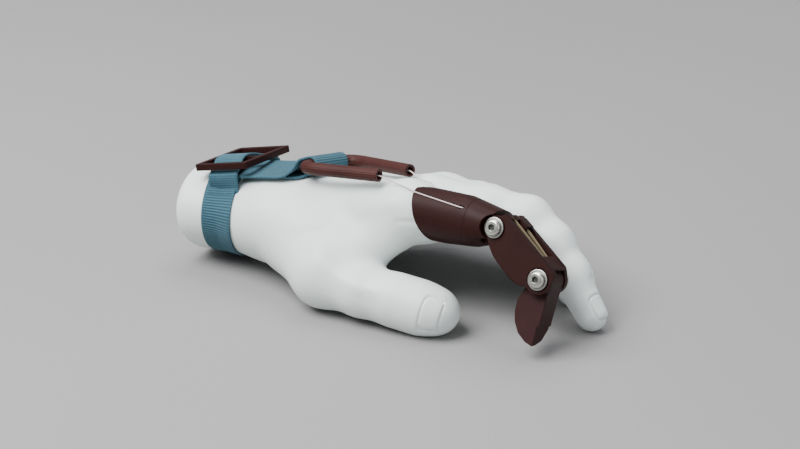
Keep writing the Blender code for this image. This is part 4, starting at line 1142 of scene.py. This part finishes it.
# ---------------------------------------------------------------- flexor lines
def upward(p):
    return np.stack([(cast(p + np.eye(3)[k] * 0.1) - cast(p - np.eye(3)[k] * 0.1)) / 0.2 for k in range(3)], 1)


for s, side in ((-1, "near"), (1, "far")):
    end, back = np.array((39.0, 9.7 * s, 0.0)), np.array((19.0, 13.1 * s, 0.0))
    d = unit(end - back)
    a = to_world(YOKE, [end - 10.1 * d, end - 5 * d, end])
    b = to_world(FINGER, GROOVES[side])
    w = np.array([a[2] * (1 - t) + b[0] * t for t in (0.22, 0.44, 0.64, 0.82)])
    for _ in range(12):
        w = w + upward(w) * np.maximum(0, LINE_R + 0.5 - cast(w))[:, None]
    lp = smooth_path(np.vstack([a, w, b]), 90)
    for _ in range(8):
        lp[:60] = lp[:60] + upward(lp[:60]) * np.clip(LINE_R * 0.62 + 0.16 - cast(lp[:60]), 0, 0.4)[:, None]
        lp[8:-8] = (lp[7:-9] + 2 * lp[8:-8] + lp[9:-7]) / 4
    vv, ff, uu = rod_uv(lp, LINE_R * 0.62, 12)
    ln = mesh_of("flexor_" + side, vv, ff, LINE, uu)
    bake(ln)
    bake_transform(ln)
    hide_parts("flexor_line_" + side, "line_stub_" + side)

# ---------------------------------------------------------------- middle link
outline = [(-0.6, 7.0)] + arc(0, 0, 4.9, 106, 275, 40) + [(3.2, -6.4), (7.3, -7.9), (13.0, -8.5), (20.0, -8.6), (24.5, -7.3)]
outline += [(LINK_LEN + x, z) for x, z in arc(0, 0, 5.9, -108, 30, 30)] + [(LINK_LEN + 4.2, 5.6), (LINK_LEN + 2.0, 6.8)]
link = local("link_frame", LINK, prism(outline, -PLATE_OUT, -PLATE_IN), MAROON)
far_plate = [(-0.6, 7.0)] + arc(0, 0, 4.9, 106, 275, 40) + [(3.2, -6.4), (7.3, -7.9), (13.0, -8.5), (20.0, -8.4), (24.5, -6.6)]
far_plate += [(LINK_LEN + x, z) for x, z in arc(0, 0, 5.1, -112, 62, 30)] + [(LINK_LEN + 0.6, 5.9), (LINK_LEN - 0.9, 6.8)]
boolean(link, local("t0", LINK, prism(far_plate, PLATE_IN, PLATE_OUT - 0.3), None), 'UNION')
web = [(8.0, -4.0), (17.5, -4.0), (17.5, 1.0), (8.0, 1.0)]
boolean(link, local("t1", LINK, prism(web, -PLATE_IN - 1, PLATE_IN + 1), None), 'UNION')
near_bridge = [(-0.5, 5.3), (2.2, 5.3), (2.2, 7.2), (-0.5, 7.2)]
boolean(link, local("t2", LINK, prism(near_bridge, -PLATE_IN - 1, PLATE_IN + 1), None), 'UNION')
far_bridge = [(21.6, 3.4), (24.6, 3.4), (26.2, 5.4), (28.4, 5.6), (28.4, 6.7), (21.6, 6.7)]
boolean(link, local("t3", LINK, prism(far_bridge, -PLATE_IN - 1, PLATE_IN + 1), None), 'UNION')
boolean(link, local("t3b", LINK, box(1.8, 6.6, 0.7, PLATE_IN + 0.4, 4.4, 7.9), None), 'UNION')
for x in (0.0, LINK_LEN):
    boolean(link, local("t4%g" % x, LINK, rod_y(x, 0, SHANK_R + GAP, -12, 12, 40, 0.07), None))
    for s in (-1, 1):
        y0, y1 = sorted((s * (PLATE_OUT - 0.5), s * 12.0))
        boolean(link, local("t5%g%d" % (x, s), LINK, rod_y(x, 0, WASHER_R + 0.5, y0, y1, 64, 0.04), None))
CORD_RUN = [(-0.3, 6.5), (5.0, 6.35), (12.0, 5.95), (19.0, 5.45), (25.2, 4.95)]
for s in (-1, 1):
    pts = [(x, 2.7 * s, z) for x, z in CORD_RUN]
    long = [(-3.0, 2.7 * s, 6.6)] + pts[:-1] + [(30.0, 2.7 * s, 4.6)]
    boolean(link, local("t6%d" % s, LINK, tube_along([(x, y * (1 - 0.017 * max(0, x)), z) for x, y, z in long], CORD_R + 0.2, 20), None))
done(link, "middle_link", "middle_link", angle=35)
for s in (-1, 1):
    pts = [(x, 2.7 * s, z) for x, z in CORD_RUN]
    side = "near" if s < 0 else "far"
    vv, ff, uu = rod_uv(smooth_path([(x, y * (1 - 0.017 * max(0, x)), z - 0.12) for x, y, z in pts], 60), 0.66, 18)
    co = mesh_of("elastic_" + side, to_world(LINK, vv), ff, ELASTIC, uu)
    done(co, "middle_link", "elastic_cord_" + side)

# ---------------------------------------------------------------- fingertip
tip_outline = arc(0, 0, TONGUE_R, -20, 210, 40) + [(-6.8, -5.8), (-8.3, -9.5), (-8.5, -14.5), (-7.6, -18.4), (-5.3, -22.4), (-1.6, -25.2), (1.5, -26.2), (1.9, -23.5), (2.3, -18.4), (3.0, -17.8), (3.8, -6.0)]
# the fingertip takes the lighter copy of the maroon print: painted light
tip = local("tip_block", TIP, prism(tip_outline, -TONGUE_HALF, TONGUE_HALF), MAROON_TIP_LIT)
boolean(tip, local("t0", TIP, rod_y(0, 0, BUSH_OUT + GAP, -9, 9, 48, 0.03), None))
cutv = [(x, y, z) for x in (-30.0, 30.0) for y, z in ((5.5, -19.6), (6.5, -19.0), (9.0, -32.0), (-5.6, -32.0), (-5.45, -26.3), (-2.0, -25.9), (2.2, -24.2))]
n7 = 7
cutf = [tuple(range(n7)), tuple(reversed(range(n7, 2 * n7)))] + [(k, (k + 1) % n7, (k + 1) % n7 + n7, k + n7) for k in range(n7)]
boolean(tip, local("t1", TIP, (np.array(cutv), outward(np.array(cutv), cutf)), None))
done(tip, "fingertip", "fingertip", angle=30)

# ---------------------------------------------------------------- hinge hardware
def turned(profile, x, n=72):
    """A turned piece about the hinge line at x: profile is (radius, y) from one end to the other."""
    rings = [[(x + r * cos(2 * pi * k / n), y, r * sin(2 * pi * k / n)) for k in range(n)] for r, y in profile]
    v, f = loft(rings)
    return v, outward(v, f)


def turned_ring(profile, x, n=72):
    rings = []
    for k in range(n):
        a = 2 * pi * k / n
        rings.append([(x + r * cos(a), y, r * sin(a)) for r, y in profile])
    v, f = loft(rings, closed=True)
    return v, outward(v, f)


def rounded(r0, r1, y0, y1, c):
    return [(r0, y0 + c), (r0 + c, y0), (r1 - c, y0), (r1 - c * 0.3, y0 + c * 0.3), (r1, y0 + c), (r1, y1 - c), (r1 - c * 0.3, y1 - c * 0.3), (r1 - c, y1), (r0 + c, y1), (r0, y1 - c)]


for key, x in (("pip", 0.0), ("dip", LINK_LEN)):
    y_floor = PLATE_OUT - 0.5
    wn0, wn1 = y_floor + GAP, y_floor + GAP + WASHER_T
    for side, (y0, y1) in (("near", (-wn1, -wn0)), ("far", (wn0, wn1))):
        w_ = local(key + "_washer_" + side + "_v", LINK, turned_ring(rounded(SHANK_R + GAP, WASHER_R, y0, y1, 0.15), x), WASHER)
        done(w_, "middle_link", key + "_washer_" + side, angle=50)
    h0 = wn1 + GAP
    end = h0 + NUT_H + 0.8
    hr, hh = 3.35, 1.75
    prof = [(SHANK_R - 0.4, end), (SHANK_R, end - 0.4), (SHANK_R, -h0 + 0.001), (hr - 0.15, -h0), (hr, -h0 - 0.15), (hr, -h0 - 0.5)]
    for k in range(1, 15):
        t = radians(k / 14 * 90)
        prof.append((2.15 + (hr - 2.15) * cos(t), -h0 - 0.5 - (hh - 0.5) * sin(t)))
    prof.append((1.9, -h0 - hh))
    screw = local(key + "_screw_v", LINK, turned(prof, x), STEEL)
    boolean(screw, local("t0", LINK, rod_y(x, 0, 1.3 / cos(radians(30)), -h0 - hh - 1, -h0 - 0.35, 6, radians(15)), None))
    done(screw, "middle_link", key + "_screw", angle=38)
    # a near-black disc at the floor of the hex socket: painted shade in the recess
    socket = local(key + "_socket_v", LINK, rod_y(x, 0, 1.27 / cos(radians(30)), -h0 - 0.75, -h0 - 0.3, 6, radians(15)), SOCKET_SHADE)
    done(socket, "middle_link", None, angle=38)
    nut = local(key + "_nut_v", LINK, rod_y(x, 0, NUT_AF / 2 / cos(radians(30)), h0, h0 + NUT_H, 6, radians(10)), STEEL)
    boolean(nut, local("t0", LINK, rod_y(x, 0, SHANK_R + 0.12, h0 - 2, h0 + NUT_H + 2, 48), None))
    cone_v = turned([(NUT_AF / 2 * 0.97, h0 - 0.01), (NUT_AF / 2 / cos(radians(30)) * 1.02, h0 + 0.45), (NUT_AF / 2 / cos(radians(30)) * 1.02, h0 + NUT_H - 0.45), (NUT_AF / 2 * 0.97, h0 + NUT_H + 0.01)], x)
    boolean(nut, local("t1", LINK, cone_v, None), 'INTERSECT')
    done(nut, "middle_link", key + "_nut", angle=30)
b1 = local("pip_bush_v", FINGER, turned_ring(rounded(BUSH_IN, BUSH_OUT, -TONGUE_HALF, TONGUE_HALF, 0.12), 0.0), BRASS)
done(b1, "hand", "pip_bush", angle=50)
b2 = local("dip_bush_v", TIP, turned_ring(rounded(BUSH_IN, BUSH_OUT, -TONGUE_HALF, TONGUE_HALF, 0.12), 0.0), BRASS)
done(b2, "fingertip", "dip_bush", angle=50)

# ---------------------------------------------------------------- floor, light and camera
def floor_material():
    m, nt, b = node_mat("floor_paper")
    co = new(nt, "ShaderNodeTexCoord").outputs["Object"]
    n = noise(nt, co, 600.0, 4.0, 0.6)
    big = noise(nt, co, 1.6, 3.0, 0.5)
    mix = math_node(nt, "ADD", math_node(nt, "MULTIPLY", n, 0.3), math_node(nt, "MULTIPLY", big, 0.7))
    near = ramp(nt, mix, [(0.3, (0.275, 0.271, 0.271)), (0.7, (0.318, 0.313, 0.313))])
    # the floor is painted lighter with distance, from grey near the object to pale past 2.6 m: painted light standing
    # in for lamp light that falls off far out
    away = new(nt, "ShaderNodeVectorMath", operation="LENGTH")
    nt.links.new(co, away.inputs[0])
    far = new(nt, "ShaderNodeMix", data_type="RGBA")
    far.clamp_factor = True
    nt.links.new(math_node(nt, "MULTIPLY_ADD", away.outputs["Value"], 0.62, -0.62), far.inputs[0])
    nt.links.new(near, far.inputs[6])
    far.inputs[7].default_value = (0.80, 0.79, 0.79, 1)
    nt.links.new(far.outputs[2], b.inputs["Base Color"])
    b.inputs["Roughness"].default_value = 0.85
    b.inputs["Specular IOR Level"].default_value = 0.25
    nt.links.new(bump(nt, n, 0.0002, 0.3), b.inputs["Normal"])
    return m


fv, ff = [(0.0, 0.0, -0.00002)], []
cols = 128
prof = [(0.4, 0.0), (0.9, 0.0), (1.8, 0.0), (3.0, 0.0)] + [(3.0 + 1.1 * sin(radians(t)), 1.1 - 1.1 * cos(radians(t))) for t in range(6, 85, 6)] + [(4.2, 1.35)]
for i, (r, z) in enumerate(prof):
    for j in range(cols):
        t = 2 * pi * j / cols
        fv.append((r * cos(t), r * sin(t), z - 0.00002))
        a, c = 1 + j, 1 + (j + 1) % cols
        if i == 0:
            ff.append((0, a, c))
        else:
            o = (i - 1) * cols
            ff.append((o + a, o + a + cols, o + c + cols, o + c))
fm = bpy.data.meshes.new("floor")
fm.from_pydata(fv, [], ff)
fm.materials.append(floor_material())
fm.shade_smooth()
floor = bpy.data.objects.new("floor", fm)
bpy.context.scene.collection.objects.link(floor)


def area(name, loc, target, size, power, color=(1, 1, 1), size_y=None):
    d = bpy.data.lights.new(name, 'AREA')
    d.energy = power
    d.size = size
    d.color = color
    if size_y:
        d.shape = 'RECTANGLE'
        d.size_y = size_y
    o = bpy.data.objects.new(name, d)
    bpy.context.scene.collection.objects.link(o)
    v = Vector(target) - Vector(loc)
    o.location = loc
    o.rotation_euler = v.to_track_quat('-Z', 'Y').to_euler()
    return o


az = radians(25)
right = np.array([cos(az), sin(az), 0.0])
toward = np.array([sin(az), -cos(az), 0.0])          # towards the camera along the floor


def spot(r, t, z):
    return tuple(float(c) for c in right * r + toward * t + np.array([0, 0, z]))


area("key", spot(-0.55, 0.25, 0.95), (0, 0, 0.02), 0.75, 25.3, (1.0, 0.995, 0.99))
area("top", spot(0.15, -0.45, 1.15), (0, 0, 0.0), 0.9, 10.0, (0.98, 0.99, 1.0))
area("fill", spot(0.9, 0.7, 0.55), (0, 0, 0.03), 0.9, 3.0, (0.96, 0.98, 1.0))
world = bpy.data.worlds.new("studio")
bpy.context.scene.world = world
world.use_nodes = True
bg = world.node_tree.nodes["Background"]
bg.inputs["Color"].default_value = (0.92, 0.95, 1.0, 1)
bg.inputs["Strength"].default_value = 0.38

el = radians(23)
back = np.array([sin(az) * cos(el), -cos(az) * cos(el), sin(el)])
up = np.array([-sin(az) * sin(el), cos(az) * sin(el), cos(el)])
cam = bpy.data.cameras.new("camera")
cam.lens = 85
cam.sensor_width = 36
cam.clip_start = 0.05
cam.clip_end = 20
cam.dof.use_dof = False
co = bpy.data.objects.new("camera", cam)
bpy.context.scene.collection.objects.link(co)
pos = (867.0 * back - O3) * MM
rotm = Matrix([[right[k], up[k], back[k], pos[k]] for k in range(3)] + [[0, 0, 0, 1]])
co.matrix_world = rotm
bpy.context.scene.camera = co
